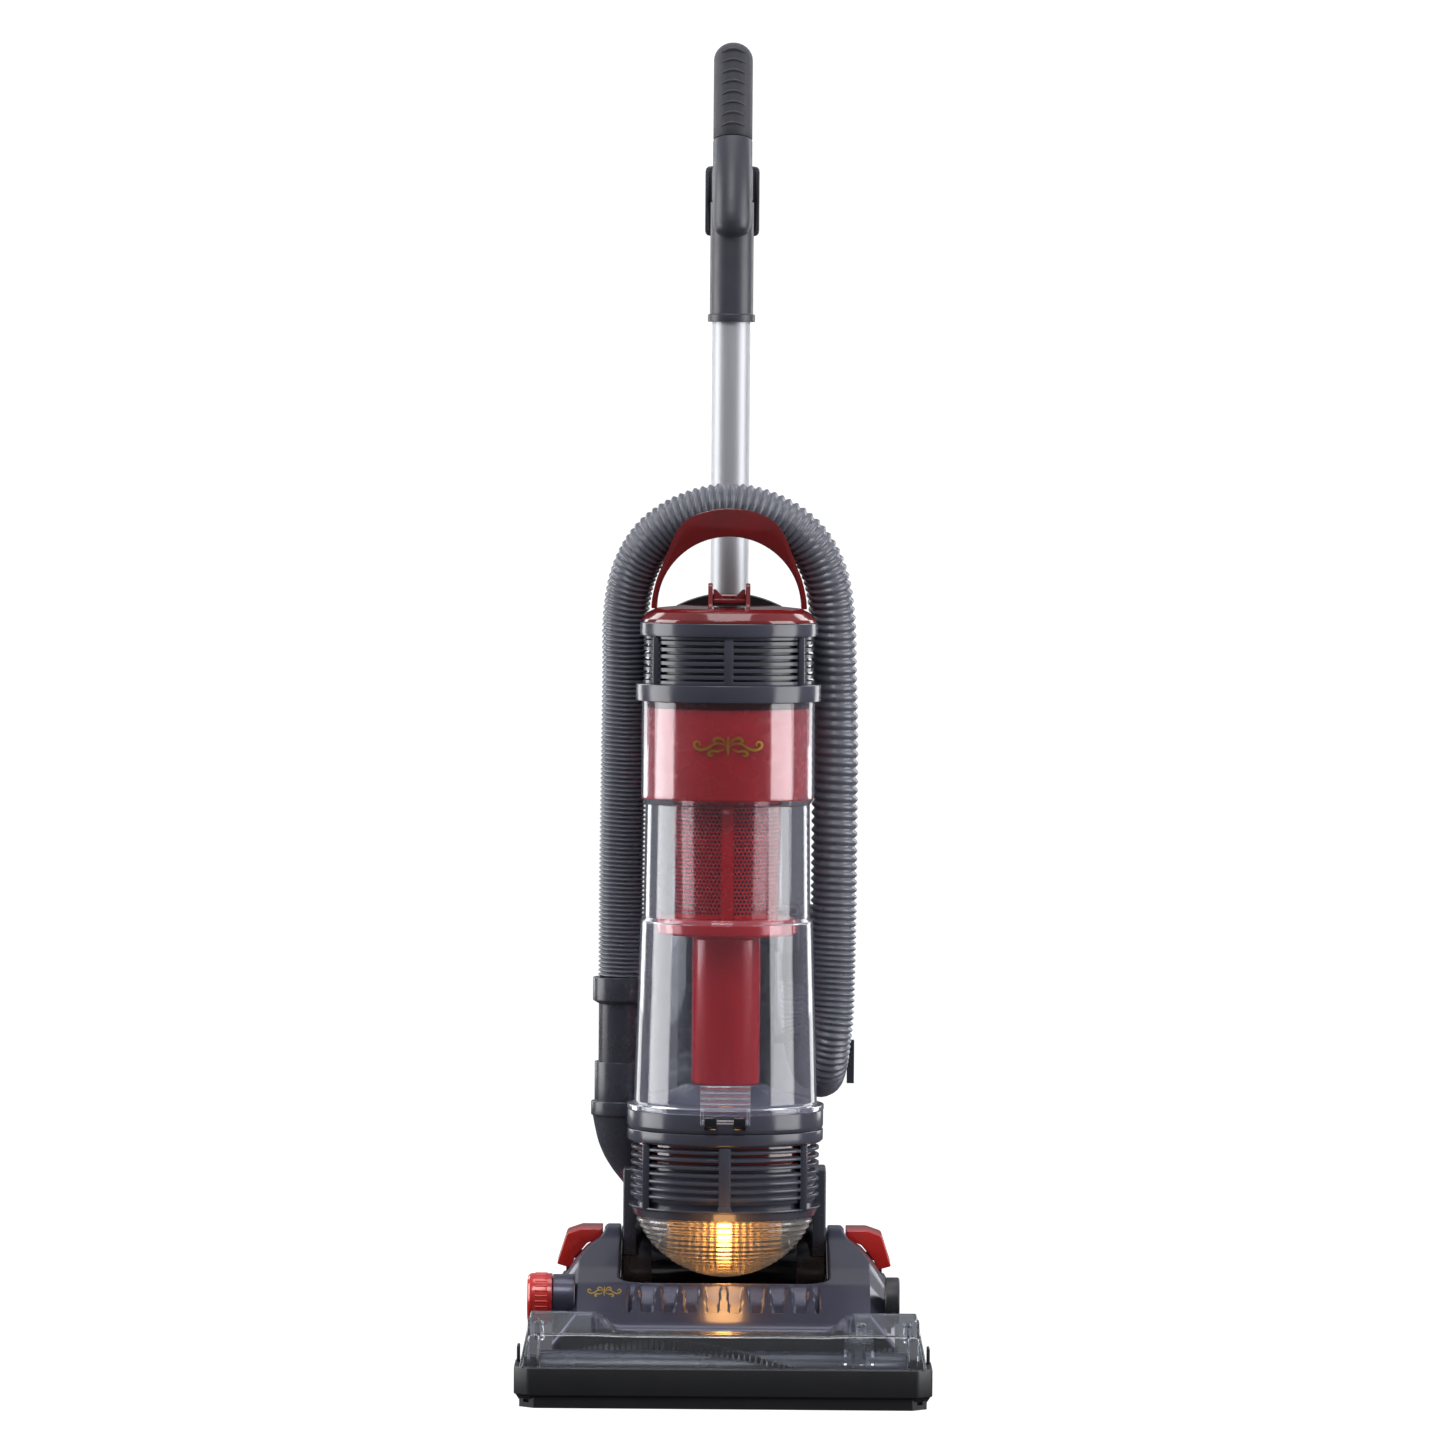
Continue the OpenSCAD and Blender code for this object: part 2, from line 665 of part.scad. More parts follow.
module headlight_lens() color("#e8edf0", 0.4) intersection() {
    bowl();
    block([-far, -far, 0], [far, bin_y - seat_gap, far]);
}

module headlight_bowl() color("#222226") {
    intersection() {
        bowl();
        block([-far, bin_y, 0], [far, far, far]);
    }
    // reflector wall behind the lamp
    intersection() {
        block([-60, bin_y, band_z - 40], [60, bin_y + 2, band_z - seat_gap]);
        translate([0, bin_y, band_z + 27]) sphere(bowl_r - 1);
    }
}

module headlight_bulb() color("#ffc070") {
    yrod(bin_y - 24, bin_y - seat_gap, 0, band_z - 22, 7);
    translate([0, bin_y - 28, band_z - 22]) sphere(9);
}

module exhaust_filter() color("#a02018") difference() {
    tube(vent_z + seat_gap, deck_z - seat_gap, vent_r - 6, 60);
    block([-38 - seat_gap, bin_y, 0], [38 + seat_gap, far, far]);
}

module motor_can() color("#8d8f94") difference() {
    tube(vent_z + 2, deck_z - 4, motor_r, 4 + run_gap);
    tube(deck_z - 18, deck_z - 6, motor_r - 3, 2);
    tube(deck_z - 7, deck_z, 16, 2);
    tube(vent_z + 8, vent_z + 16, 12, 2);
}

module fan_rotor() color("#c8c9cc") {
    tube(vent_z + 1, deck_z - 8, 4, 0.001);
    tube(deck_z - 16, deck_z - 13, motor_r - 5, 3.9);
    for (a = [0:40:320]) translate([0, bin_y, deck_z - 13.1]) rotate(a) block([14, -0.8, 0], [motor_r - 6, 0.8, 5]);
}

// One side of the fork that the upright turns on
module yoke(way_r) {
    duct_x = 69;
    duct_y = pivot_y + 9;
    difference() {
        union() {
            block([56, pivot_y - 30, pivot_z + 4], [82.5, pivot_y + 23, band_z + 35]);
            xrod(64, 82.5, pivot_y, pivot_z, 25);
            xrod(82, bracket_x + bracket_t + 1.2, pivot_y, pivot_z, trunnion_r);
        }
        tube(band_z - far, band_z + far, vent_r + seat_gap, 0.01);
        translate([0, bin_y, band_z + 27.8]) sphere(bowl_r + 1);
        if (way_r > 0) {
            xrod(duct_x, bracket_x + bracket_t + 3, pivot_y, pivot_z, way_r);
            translate([duct_x + 1, duct_y, pivot_z - 4]) cylinder(h = far, r = way_r - 0.5);
        }
    }
}

module yoke_left() color("#2c2c31") mirror([1, 0, 0]) yoke(airway_r);
module yoke_right() color("#2c2c31") yoke(0);

// ---- spine ----

module spine() color("#303036") {
    half = spine_w / 2;
    y0 = spine_y + 4;
    difference() {
        union() {
            block([-half, bin_y + 60, band_z + 8], [half, spine_back, spine_top]);
            // spout towards the bin's inlet
            block([half - 23, bin_y + 50, inlet_z - 15], [half - 1, spine_y, inlet_z + 15]);
        }
        difference() {
            tube(0, far, deck_r + 0.7, 0.01);
            block([half - 23, bin_y + 50, inlet_z - 15], [half - 1, spine_y, inlet_z + 15]);
        }
        tube(0, far, bin_top_r + 0.6, 0.01);
        // wiring bay
        block([-half + 3, y0, band_z + 16], [half - 3, spine_back - 4, elbow_z + 14]);
        // air way from the inlet elbow up to the spout
        block([-10, y0, elbow_z + 20], [half - 3, spine_back - 4, elbow_z + 76]);
        block([half - 20, y0, elbow_z + 20], [half - 3, spine_back - 4, inlet_z + 12]);
        block([half - 20, bin_y, inlet_z - 11], [half - 4, y0 + 1, inlet_z + 11]);
        block([half - 5, elbow_y - 32, elbow_z + 31], [half + 1, elbow_y - 4, elbow_z + 63]);
        // socket of the wand
        translate([0, wand_y, tube_z - cap_gap]) cylinder(h = far, r = tube_r + run_gap);
        // seat of the cord's gland
        yrod(spine_back - 10, back_y, -20, band_z + 30, 6 + seat_gap);
    }
    // arm that keeps the hose's lower bend in place
    block([half - 0.1, clip_y, clip_z], [half + 66, clip_y + 12, clip_z + 6]);
    block([half + 60, clip_y, clip_z - 30], [half + 66, clip_y + 12, clip_z + 1]);
}

module spine_cap() color("#1f1f23") {
    half = spine_w / 2 + 4;
    difference() {
        along_y(bin_y + 60, spine_back + 2) polygon([
            [-half, spine_top + seat_gap], [-half, cap_top - 12], [-half + 5, cap_top - 5], [-half + 16, cap_top],
            [half - 16, cap_top], [half - 5, cap_top - 5], [half, cap_top - 12], [half, spine_top + seat_gap]]);
        tube(0, far * 2, deck_r + 0.7, 0.01);
        translate([0, wand_y, 0]) cylinder(h = far, r = tube_r + run_gap);
        block([-8 - part_gap, wand_y + tube_r + 5, cap_top - 34], [8 + part_gap, back_y, cap_top - 18]);
    }
}

module port_elbow() color("#26262b") {
    difference() {
        union() {
            hull() {
                translate([port_x, port_y, port_z - 0.5]) cylinder(h = 1, r = 23.5, $fn = 40);
                translate([-70, pivot_y + 9, band_z + 35 + seat_gap]) cylinder(h = 1, r = 13, $fn = 40);
            }
            translate([port_x, port_y, port_z]) cylinder(h = 12, r = 24.6);
            translate([port_x, port_y, port_z + 11]) cylinder(h = 34, r = 21.7);
        }
        hull() {
            translate([port_x, port_y, port_z]) cylinder(h = 1, r = 16, $fn = 40);
            translate([-70, pivot_y + 9, band_z + 34]) cylinder(h = 1, r = airway_r - 0.5, $fn = 40);
        }
        translate([port_x, port_y, port_z]) cylinder(h = 60, r = 16);
        translate([port_x, port_y, port_z + 16]) cylinder(h = 60, r = 18.7 + run_gap);
    }
}

module hose_cuff() color("#37373d") {
    tube(port_z + 16 + seat_gap, port_z + 96, 18.7, 15.5, port_x, port_y);
    difference() {
        tube(port_z + 95, hose_path[0][2] - seat_gap, 23.7, 15.5, port_x, port_y);
        translate([port_x, port_y, hose_path[0][2] - 1]) cylinder(h = 2, r = 15.6);
    }
}

// A round tube swept along a smooth curve through the given points
function along(p, i, t) = let (
        a = p[max(i - 1, 0)], b = p[i], c = p[i + 1], d = p[min(i + 2, len(p) - 1)])
    0.5 * (2 * b + (c - a) * t + (2 * a - 5 * b + 4 * c - d) * t * t + (3 * b - a - 3 * c + d) * t * t * t);

module sweep(p, r, sides = 10, per = 2) {
    line = [for (i = [0:len(p) - 2], k = [0:per - 1]) along(p, i, k / per), p[len(p) - 1]];
    n = len(line);
    rings = [for (i = [0:n - 1]) let (
            d = i == 0 ? [0, 0, 1] : i == n - 1 ? [0, 0, 1] : line[i + 1] - line[i - 1],
            u = d / norm(d),
            s = cross([0, 1, 0], u) / norm(cross([0, 1, 0], u)),
            v = cross(u, s))
        for (k = [0:sides - 1]) line[i] + r * (cos(360 * k / sides) * s + sin(360 * k / sides) * v)];
    faces = [for (i = [0:n - 2], k = [0:sides - 1], half = [0, 1]) let (
            a = i * sides + k, b = i * sides + (k + 1) % sides)
        half == 0 ? [a, a + sides, b] : [b, a + sides, b + sides]];
    caps = [[for (k = [0:sides - 1]) k], [for (k = [sides - 1:-1:0]) (n - 1) * sides + k]];
    polyhedron(points = rings, faces = concat(faces, caps));
}

module hose() color("#55575f") sweep(hose_path, hose_r);

module inlet_elbow() color("#26262b") {
    half = spine_w / 2;
    difference() {
        union() {
            translate([elbow_x, elbow_y, elbow_z + seat_gap]) cylinder(h = 47, r = elbow_r);
            translate([elbow_x, elbow_y, elbow_z + 47]) sphere(elbow_r);
            block([half + seat_gap, elbow_y - 36, elbow_z + 27], [elbow_x, elbow_y, elbow_z + 67]);
        }
        translate([elbow_x, elbow_y, elbow_z - 1]) cylinder(h = 48, r = hose_r - 3);
        translate([elbow_x, elbow_y, elbow_z + 47]) sphere(hose_r - 3);
        block([half - 1, elbow_y - 32, elbow_z + 31], [elbow_x - 3, elbow_y - 4, elbow_z + 63]);
        block([0, spine_y, 0], [half + seat_gap, far, far]);
    }
}

module cord_hook_lower() color("#26262b") {
    z = elbow_z - 25;
    block([-19, spine_back + seat_gap, z], [19, back_y - 4, z + 9]);
    block([-19, back_y - 9, z - 22], [19, back_y - 4, z + 9]);
}

module wand_button() color("#c4231f")
    block([-8, wand_y + tube_r + 9, cap_top - 34 + part_gap], [8, spine_back + 6, cap_top - 18 - part_gap]);

module cord_gland() color("#151517") {
    yrod(spine_back - 9, spine_back + 1, -20, band_z + 30, 6);
    difference() {
        yrod(spine_back + seat_gap, spine_back + 14, -20, band_z + 30, 8);
        yrod(spine_back + 4, spine_back + 20, -20, band_z + 30, 3.7);
    }
}

// ---- dust bin ----

module dust_bin() color("#d9dde3", 0.3) difference() {
    translate([0, bin_y, 0]) rotate_extrude() polygon([
        [rim_r, rim_z + seat_gap], [rim_r, low_z], [bin_floor_r, low_z], [bin_mid_r, neck_z - 1],
        [bin_neck_r + 0.5, neck_z], [bin_neck_r - 0.5, sleeve_z - 1], [bin_top_r, sleeve_z],
        [bin_top_r, bin_top], [bin_top_r - bin_t, bin_top], [bin_top_r - bin_t, sleeve_z + 2.5],
        [bin_neck_r - 0.5 - bin_t, sleeve_z + 2.5], [bin_neck_r - 0.5 - bin_t, sleeve_z - 1],
        [bin_neck_r + 0.5 - bin_t, neck_z], [bin_mid_r - bin_t, neck_z - 2], [bin_floor_r - bin_t, rim_z + seat_gap]]);
    block([spine_w / 2 - 20, bin_y, inlet_z - 11], [spine_w / 2 - 4, far, inlet_z + 11]);
}

module bin_door() color("#33333a") difference() {
    union() {
        tube(door_z, door_z + 4.7, deck_r, 18);
        tube(door_z, rim_z, deck_r, bin_floor_r + 0.9);
        tube(door_z + 1, rim_z + 20 - seat_gap, 26, 18);
        // two prongs that carry the latch
        for (x = [-17.2, 6.7])
            block([x, bin_y - rim_r - 5.2, door_z + 5.7], [x + 10.5, bin_y - deck_r + 5, rim_z - seat_gap]);
        xrod(-8, 8, bin_y - rim_r - 2.7, rim_z - 5, 1.5);
    }
    // the hinge's pin hole behind
    xrod(-22, 22, bin_y + deck_r - 4, rim_z - 6, 1.6);
}

module door_seal() color("#1a1a1c") tube(rim_z - 3.4, rim_z, bin_floor_r - 0.2, bin_floor_r - 4.6);

module door_latch() color("#dfe4ea", 0.5) {
    y = bin_y - rim_r;
    difference() {
        union() {
            block([-20.5, y - 4.2, low_z + 0.6], [20.5, y - 1.2, low_z + 20.4]);
            for (i = [0:2]) block([-17, y - 5.2, low_z + 6 + i * 4.5], [17, y - 4.1, low_z + 8 + i * 4.5]);
            block([-4, y - 4.2, rim_z - 7], [4, y - 1.2, low_z + 1]);
            xrod(-6, 6, y - 2.7, rim_z - 5, 2.6);
        }
        xrod(-30, 30, y - 2.7, rim_z - 5, 1.5 + run_gap);
    }
}

module bin_lid_ring() color("#45454b") {
    tube(bin_top + seat_gap, ring_top, bin_top_r + 5.1, bin_top_r - 12);
    tube(bin_top - 5, bin_top + 1, bin_top_r - bin_t - 2.4, bin_top_r - 8);
}

module red_sleeve() color("#8e1219") difference() {
    union() {
        tube(sleeve_z + 2.5 + seat_gap, bin_top - 6, bin_top_r - bin_t - 0.2, bin_top_r - bin_t - 2.2);
        tube(sleeve_z + 2.5 + seat_gap, sleeve_z + 5, bin_top_r - bin_t - 1, shroud_r - 1);
        tube(sleeve_z + 3, bin_top - 6, shroud_r + 1, shroud_r - 1);
    }
    block([spine_w / 2 - 24, bin_y + 48, sleeve_z], [spine_w / 2, far, inlet_z + 11.2]);
}

module shroud() color("#a01820") translate([0, bin_y, 0]) rotate_extrude() polygon([
    [shroud_r, neck_z + 1 + seat_gap], [shroud_r + 2, sleeve_z + 2.5], [shroud_r, sleeve_z + 2.5],
    [shroud_r - 2, neck_z + 1 + seat_gap]]);

module inner_tube() color("#b01c22") {
    translate([0, bin_y, 0]) rotate_extrude() polygon([
        [inner_tube_r, rim_z + 20], [inner_tube_r, neck_z - 13], [skirt_r, neck_z - 11], [skirt_r, neck_z - 3],
        [skirt_r - 4, neck_z + 1], [inner_tube_r - 2.5, neck_z + 1], [inner_tube_r - 2.5, rim_z + 20]]);
}

module pre_filter() color("#d8d4c8") tube(ring_top + 3, cage_top - 3, cage_r - 8, 22);

module filter_cage() color("#2e2e33") {
    count = 6;
    pitch = (cage_h - 5) / count;
    tube(ring_top + seat_gap, ring_top + 2.5, cage_r - 2, 24);
    tube(cage_top - 2.5, cage_top - seat_gap, cage_r, cage_r - 6);
    for (i = [0:count - 1]) tube(ring_top + 1.5 + i * pitch, ring_top + 4.3 + i * pitch, cage_r, cage_r - 6);
    intersection() {
        tube(ring_top + seat_gap, cage_top - seat_gap, cage_r, cage_r - 6);
        union() {
            for (s = [-1, 1]) {
                block([-4, min(0, s * far), 0] + [0, bin_y, 0], [4, max(0, s * far), far] + [0, bin_y, 0]);
                block([s * 60 - 3, -far, 0], [s * 60 + 3, far, far]);
            }
        }
    }
}

module lid_ring() color("#27272b") {
    tube(cage_top, lid_top, lid_r, lid_r - 8);
    tube(cage_top, cage_top + 3, lid_r - 7, 10);
}

module lid_cap() color("#6a0c12") {
    arch_y = bin_y + 18;
    y0 = arch_y - arch_w / 2;
    y1 = arch_y + arch_w / 2;
    // dome: a low ring-shaped shoulder with a flat crown
    translate([0, bin_y, 0]) rotate_extrude() difference() {
        polygon([[0, lid_top + seat_gap], [lid_r - 1, lid_top + seat_gap], [lid_r - 2, lid_top + 4],
                 [lid_r - 7, lid_top + 8], [lid_r - 16, lid_top + 11.5], [lid_r - 32, lid_top + dome_h],
                 [0, lid_top + dome_h]]);
        polygon([[-1, lid_top - 1], [lid_r - 4, lid_top - 1], [lid_r - 5, lid_top + 3],
                 [lid_r - 17, lid_top + 8.5], [lid_r - 33, lid_top + dome_h - 3], [-1, lid_top + dome_h - 3]]);
    }
    // carry handle: a half ring with a crescent lip in front
    difference() {
        union() {
            along_y(y0, y1) translate([0, arch_z]) circle(arch_r + 2.5);
            along_y(y0, y0 + 2.5) union() {
                translate([0, arch_z]) circle(arch_r + 5);
                translate([0, arch_z + 29.8]) circle(53.7 + arch_r - 60);
            }
        }
        along_y(y0 - 1, y1 + 1) translate([0, arch_z]) circle(arch_r);
        block([-far, -far, 0], [far, far, arch_z - 2]);
    }
    // ribs that stiffen the handle's feet
    both_sides() block([arch_r - 1, y0 + 1, lid_top + 6], [arch_r + 2.5, y1 - 1, arch_z]);
    // two ears that hold the lever
    both_sides() difference() {
        block([14.5, bin_y - 44, lid_top + dome_h - 3], [19, bin_y - 22, lid_top + 33]);
        xrod(14, 20, bin_y - 38, lid_top + 22, 2 + run_gap);
    }
}

module lid_lever() color("#b3261f") {
    along_y(bin_y - 45, bin_y - 24) polygon([
        [-14.2, lid_top + 18], [-14.2, lid_top + 28], [0, lid_top + 20.5], [14.2, lid_top + 28], [14.2, lid_top + 18]]);
    block([-14.2, bin_y - 52, lid_top + 16.5], [14.2, bin_y - 44.9, lid_top + 20.5]);
    xrod(-19, 19, bin_y - 38, lid_top + 22, 2);
}

// ---- wand and handle ----

module wand_tube() color("#c9cbcd") tube(tube_z, tube_z + tube_len, tube_r, tube_r - tube_t, 0, wand_y);

module wand_collar() color("#3b3b43") {
    difference() {
        union() {
            translate([0, wand_y, collar_z]) cylinder(h = 6, r = collar_r + 1.7);
            translate([0, wand_y, collar_z]) cylinder(h = collar_h, r = collar_r);
            translate([0, wand_y, collar_z]) cylinder(h = collar_h + 18, r = 11);
            yrod(wand_y, back_y - 8, 0, knee_z + 18.5, 5);
        }
        translate([0, wand_y, collar_z - 1]) cylinder(h = 47 + seat_gap, r = tube_r + seat_gap);
    }
}

// The handle's bar lies along its own Z from the knee, leaning back
module on_bar() translate([0, wand_y - 14, knee_z]) rotate([-lean, 0, 0]) children();

module bar_solid() {
    bare = bar_len * bare_share;
    difference() {
        union() {
            on_bar() {
                sphere(bar_r);
                cylinder(h = bare, r = bar_r);
                cylinder(h = bar_len - 3, r = core_r);
            }
            translate([0, wand_y, collar_z + collar_h + seat_gap]) cylinder(h = 24, r = collar_r - 0.8);
            translate([0, wand_y, collar_z + collar_h + 24]) sphere(collar_r - 0.8);
        }
        translate([0, wand_y, 0]) cylinder(h = collar_z + collar_h + seat_gap, r = collar_r + seat_gap);
        translate([0, wand_y, 0]) cylinder(h = collar_z + collar_h + 18 + seat_gap, r = 11 + seat_gap);
        yrod(wand_y, back_y, 0, knee_z + 18.5, 5 + seat_gap);
    }
}

module handle_left() color("#3f3f4a") difference() {
    bar_solid();
    block([-seat_gap, -far, 0], [far, far, 2 * far]);
}

module handle_right() color("#3f3f4a") difference() {
    bar_solid();
    block([-far, -far, 0], [seat_gap, far, 2 * far]);
}

module grip() color("#2f2f36") difference() {
    on_bar() {
        translate([0, 0, bar_len * bare_share + seat_gap]) cylinder(h = bar_len * (1 - bare_share), r = bar_r);
        translate([0, 0, bar_len]) sphere(bar_r);
    }
    on_bar() cylinder(h = bar_len - 3 + seat_gap, r = core_r + seat_gap);
    on_bar() translate([0, 0, -40]) cylinder(h = 40 + bar_len * bare_share, r = 40);
}

module cord_hook_upper() color("#33333b") {
    z = knee_z + 18.5;
    difference() {
        union() {
            along_y(back_y - 6, back_y) polygon([
                [-23, z - 22], [-23, z + 22], [-15, z + 29.5], [15, z + 29.5], [23, z + 22],
                [23, z - 22], [15, z - 29.5], [-15, z - 29.5]]);
            both_sides() block([20, back_y - 21, z - 18], [23, back_y - 5, z + 18]);
            yrod(wand_y + collar_r + 2, back_y - 5, 0, z, 9);
        }
        yrod(wand_y, back_y - 8 + run_gap, 0, z, 5 + run_gap);
    }
}

head_base();
bumper();
head_cover();
cover_pan();
brush_window();
belt_guard();
brush_bearings();
brush_motor();
drive_belt();
suction_duct();
side_cap();
wheel_axles();
brush_dowel();
brush_bristles();
motor_pulley();
wheel_carriage();
front_rollers();
height_knob();
wheel_left();
wheel_right();
release_pedal();
power_pedal();
lower_housing();
vent_grille();
headlight_lens();
headlight_bowl();
headlight_bulb();
exhaust_filter();
motor_can();
fan_rotor();
yoke_left();
yoke_right();
spine();
spine_cap();
port_elbow();
hose_cuff();
hose();
inlet_elbow();
cord_hook_lower();
wand_button();
cord_gland();
dust_bin();
bin_door();
door_seal();
door_latch();
bin_lid_ring();
red_sleeve();
shroud();
inner_tube();
pre_filter();
filter_cage();
lid_ring();
lid_cap();
lid_lever();
wand_tube();
wand_collar();
handle_left();
handle_right();
grip();
cord_hook_upper();
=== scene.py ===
import math

import bmesh
import bpy
from mathutils import Matrix, Vector


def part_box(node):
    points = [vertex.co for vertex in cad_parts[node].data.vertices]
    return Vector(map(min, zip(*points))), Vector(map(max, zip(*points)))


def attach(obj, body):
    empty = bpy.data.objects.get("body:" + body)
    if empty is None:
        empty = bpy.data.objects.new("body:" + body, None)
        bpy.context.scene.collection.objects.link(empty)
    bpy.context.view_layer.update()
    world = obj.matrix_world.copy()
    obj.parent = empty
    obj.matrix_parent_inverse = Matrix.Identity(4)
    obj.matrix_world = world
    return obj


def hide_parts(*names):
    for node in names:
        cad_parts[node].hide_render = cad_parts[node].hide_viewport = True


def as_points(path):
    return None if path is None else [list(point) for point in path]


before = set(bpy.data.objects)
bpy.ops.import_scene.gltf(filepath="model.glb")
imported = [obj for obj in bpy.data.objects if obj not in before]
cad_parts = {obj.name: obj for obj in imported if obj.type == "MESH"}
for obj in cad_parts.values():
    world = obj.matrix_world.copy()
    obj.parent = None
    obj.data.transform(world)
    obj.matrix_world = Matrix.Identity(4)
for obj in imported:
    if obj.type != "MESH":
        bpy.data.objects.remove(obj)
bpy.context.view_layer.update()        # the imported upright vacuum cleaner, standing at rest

MM = 0.001
TURN = 2 * math.pi


# ---- places taken from the frame, in millimetres ----

def box_mm(node):
    """Lowest and highest corner of a CAD node in millimetres."""
    low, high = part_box(node)
    return low / MM, high / MM


HEAD_LOW, HEAD_HIGH = box_mm("bumper")
BODY_LOW, BODY_HIGH = box_mm("dust_bin")
FRONT = HEAD_LOW.y                                   # front plane of the head
BIN_X = 0.0
BIN_Y = (BODY_LOW.y + BODY_HIGH.y) / 2               # axis of the bin and the motor housing
BIN_AXIS = (BIN_X, BIN_Y)
WAND_LOW, WAND_HIGH = box_mm("wand_tube")
WAND_Y = (WAND_LOW.y + WAND_HIGH.y) / 2              # axis of the wand


# ---- camera ----

CAMERA_BACK = 7.0          # metres from the head's front plane, a long lens as for a catalogue
CAMERA_HEIGHT = 0.798
LENS_MM = 216.0
SENSOR_MM = 36.0
LOOK_DOWN = math.radians(1.97)
ROLL = math.radians(0.45)
SIDE_SHIFT = -0.004


def set_camera():
    """The camera, at the place and with the lens named above."""
    lens = bpy.data.cameras.new("camera")
    lens.lens = LENS_MM
    lens.sensor_width = SENSOR_MM
    lens.shift_x = SIDE_SHIFT
    lens.clip_end = 100.0
    camera = bpy.data.objects.new("camera", lens)
    camera.location = (0.0, FRONT * MM - CAMERA_BACK, CAMERA_HEIGHT)
    upright = Matrix.Rotation(math.pi / 2 - LOOK_DOWN, 4, "X")
    camera.matrix_world = Matrix.Translation(camera.location) @ upright @ Matrix.Rotation(ROLL, 4, "Z")
    bpy.context.scene.collection.objects.link(camera)
    bpy.context.scene.camera = camera


set_camera()


# ---- building material trees ----

def linear(code):
    """An sRGB hex colour as linear red, green, blue and alpha."""
    parts = [int(code[i:i + 2], 16) / 255 for i in (1, 3, 5)]
    return tuple(c / 12.92 if c <= 0.04045 else ((c + 0.055) / 1.055) ** 2.4 for c in parts) + (1.0,)


def add(tree, kind, inputs=None, **settings):
    """Adds a node: settings are its properties, and inputs gives sockets a value or another node's output."""
    node = tree.nodes.new(kind)
    for name, value in settings.items():
        setattr(node, name, value)
    for key, value in (inputs or {}).items():
        if isinstance(value, bpy.types.NodeSocket):
            tree.links.new(value, node.inputs[key])
        else:
            node.inputs[key].default_value = value
    return node


def blank(name):
    """A new material with an empty tree, and that tree."""
    material = bpy.data.materials.new(name)
    material.use_nodes = True
    material.node_tree.nodes.clear()
    return material, material.node_tree


def object_place(tree, stretch=(1.0, 1.0, 1.0)):
    """Object coordinates, stretched along the axes."""
    place = add(tree, "ShaderNodeTexCoord")
    return add(tree, "ShaderNodeMapping", {"Vector": place.outputs["Object"], "Scale": stretch}).outputs[0]


def speckle(tree, place, size_mm, detail=2.0, rough=0.5):
    """Noise whose grains are about size_mm across."""
    inputs = {"Vector": place, "Scale": 1.0 / (size_mm * MM), "Detail": detail, "Roughness": rough}
    return add(tree, "ShaderNodeTexNoise", inputs).outputs["Fac"]


def spread(tree, value, low, high, from_low=0.3, from_high=0.7):
    """A noise value mapped to the range low to high."""
    inputs = {"Value": value, "From Min": from_low, "From Max": from_high, "To Min": low, "To Max": high}
    return add(tree, "ShaderNodeMapRange", inputs).outputs[0]


def blend_colours(tree, amount, first, second):
    """A mix of two sRGB colours."""
    node = add(tree, "ShaderNodeMix", {"Factor": amount}, data_type="RGBA")
    node.inputs[6].default_value = linear(first)
    node.inputs[7].default_value = linear(second)
    return node.outputs[2]


def bumped(tree, height, depth_mm, strength=1.0):
    """A bump normal from a height, with its depth in millimetres."""
    inputs = {"Height": height, "Distance": depth_mm * MM, "Strength": strength}
    return add(tree, "ShaderNodeBump", inputs).outputs[0]


def close(tree, shader):
    """Ends a material's tree with its output."""
    add(tree, "ShaderNodeOutputMaterial", {"Surface": shader})


def moulded_abs(name, colour, second, roughness, grain_mm=0.55, grain_depth=0.02, coat=0.0):
    """Injection-moulded ABS: an even colour, a fine spark-eroded grain and a satin shine."""
    material, tree = blank(name)
    place = object_place(tree)
    grain = speckle(tree, place, grain_mm, 3.0, 0.6)
    cloud = speckle(tree, place, 38.0, 2.0)
    shader = add(tree, "ShaderNodeBsdfPrincipled", {
        "Base Color": blend_colours(tree, cloud, colour, second),
        "Roughness": spread(tree, speckle(tree, place, 14.0, 4.0), roughness - 0.04, roughness + 0.06),
        "Normal": bumped(tree, grain, grain_depth),
        "IOR": 1.53, "Coat Weight": coat, "Coat Roughness": 0.08})
    close(tree, shader.outputs[0])
    return material


def flake_abs(name, colour, second):
    """Mica-filled ABS: a satin metallic cover whose fine flakes glint and shift the grey towards blue."""
    material, tree = blank(name)
    place = object_place(tree)
    flake = add(tree, "ShaderNodeTexVoronoi", {"Vector": place, "Scale": 1.0 / (0.5 * MM)})
    cloud = speckle(tree, place, 45.0, 2.0)
    shader = add(tree, "ShaderNodeBsdfPrincipled", {
        "Base Color": blend_colours(tree, cloud, colour, second),
        "Metallic": 0.55, "IOR": 1.5,
        "Roughness": spread(tree, flake.outputs["Distance"], 0.29, 0.37, 0.1, 0.8),
        "Normal": bumped(tree, flake.outputs["Distance"], 0.012),
        "Coat Weight": 0.35, "Coat Roughness": 0.12})
    close(tree, shader.outputs[0])
    return material


def candy_abs(name, colour, second, roughness=0.2):
    """Polished red ABS with a clear gloss: deep colour, sharp softbox reflections and faint flow marks."""
    material, tree = blank(name)
    place = object_place(tree)
    flow = speckle(tree, object_place(tree, (1.0, 1.0, 0.3)), 22.0, 3.0)
    shader = add(tree, "ShaderNodeBsdfPrincipled", {
        "Base Color": blend_colours(tree, flow, colour, second),
        "Roughness": spread(tree, speckle(tree, place, 9.0, 4.0), roughness - 0.03, roughness + 0.05),
        "Normal": bumped(tree, speckle(tree, place, 2.4, 2.0), 0.006),
        "Metallic": 0.12, "IOR": 1.53, "Coat Weight": 0.6, "Coat Roughness": 0.05})
    close(tree, shader.outputs[0])
    return material


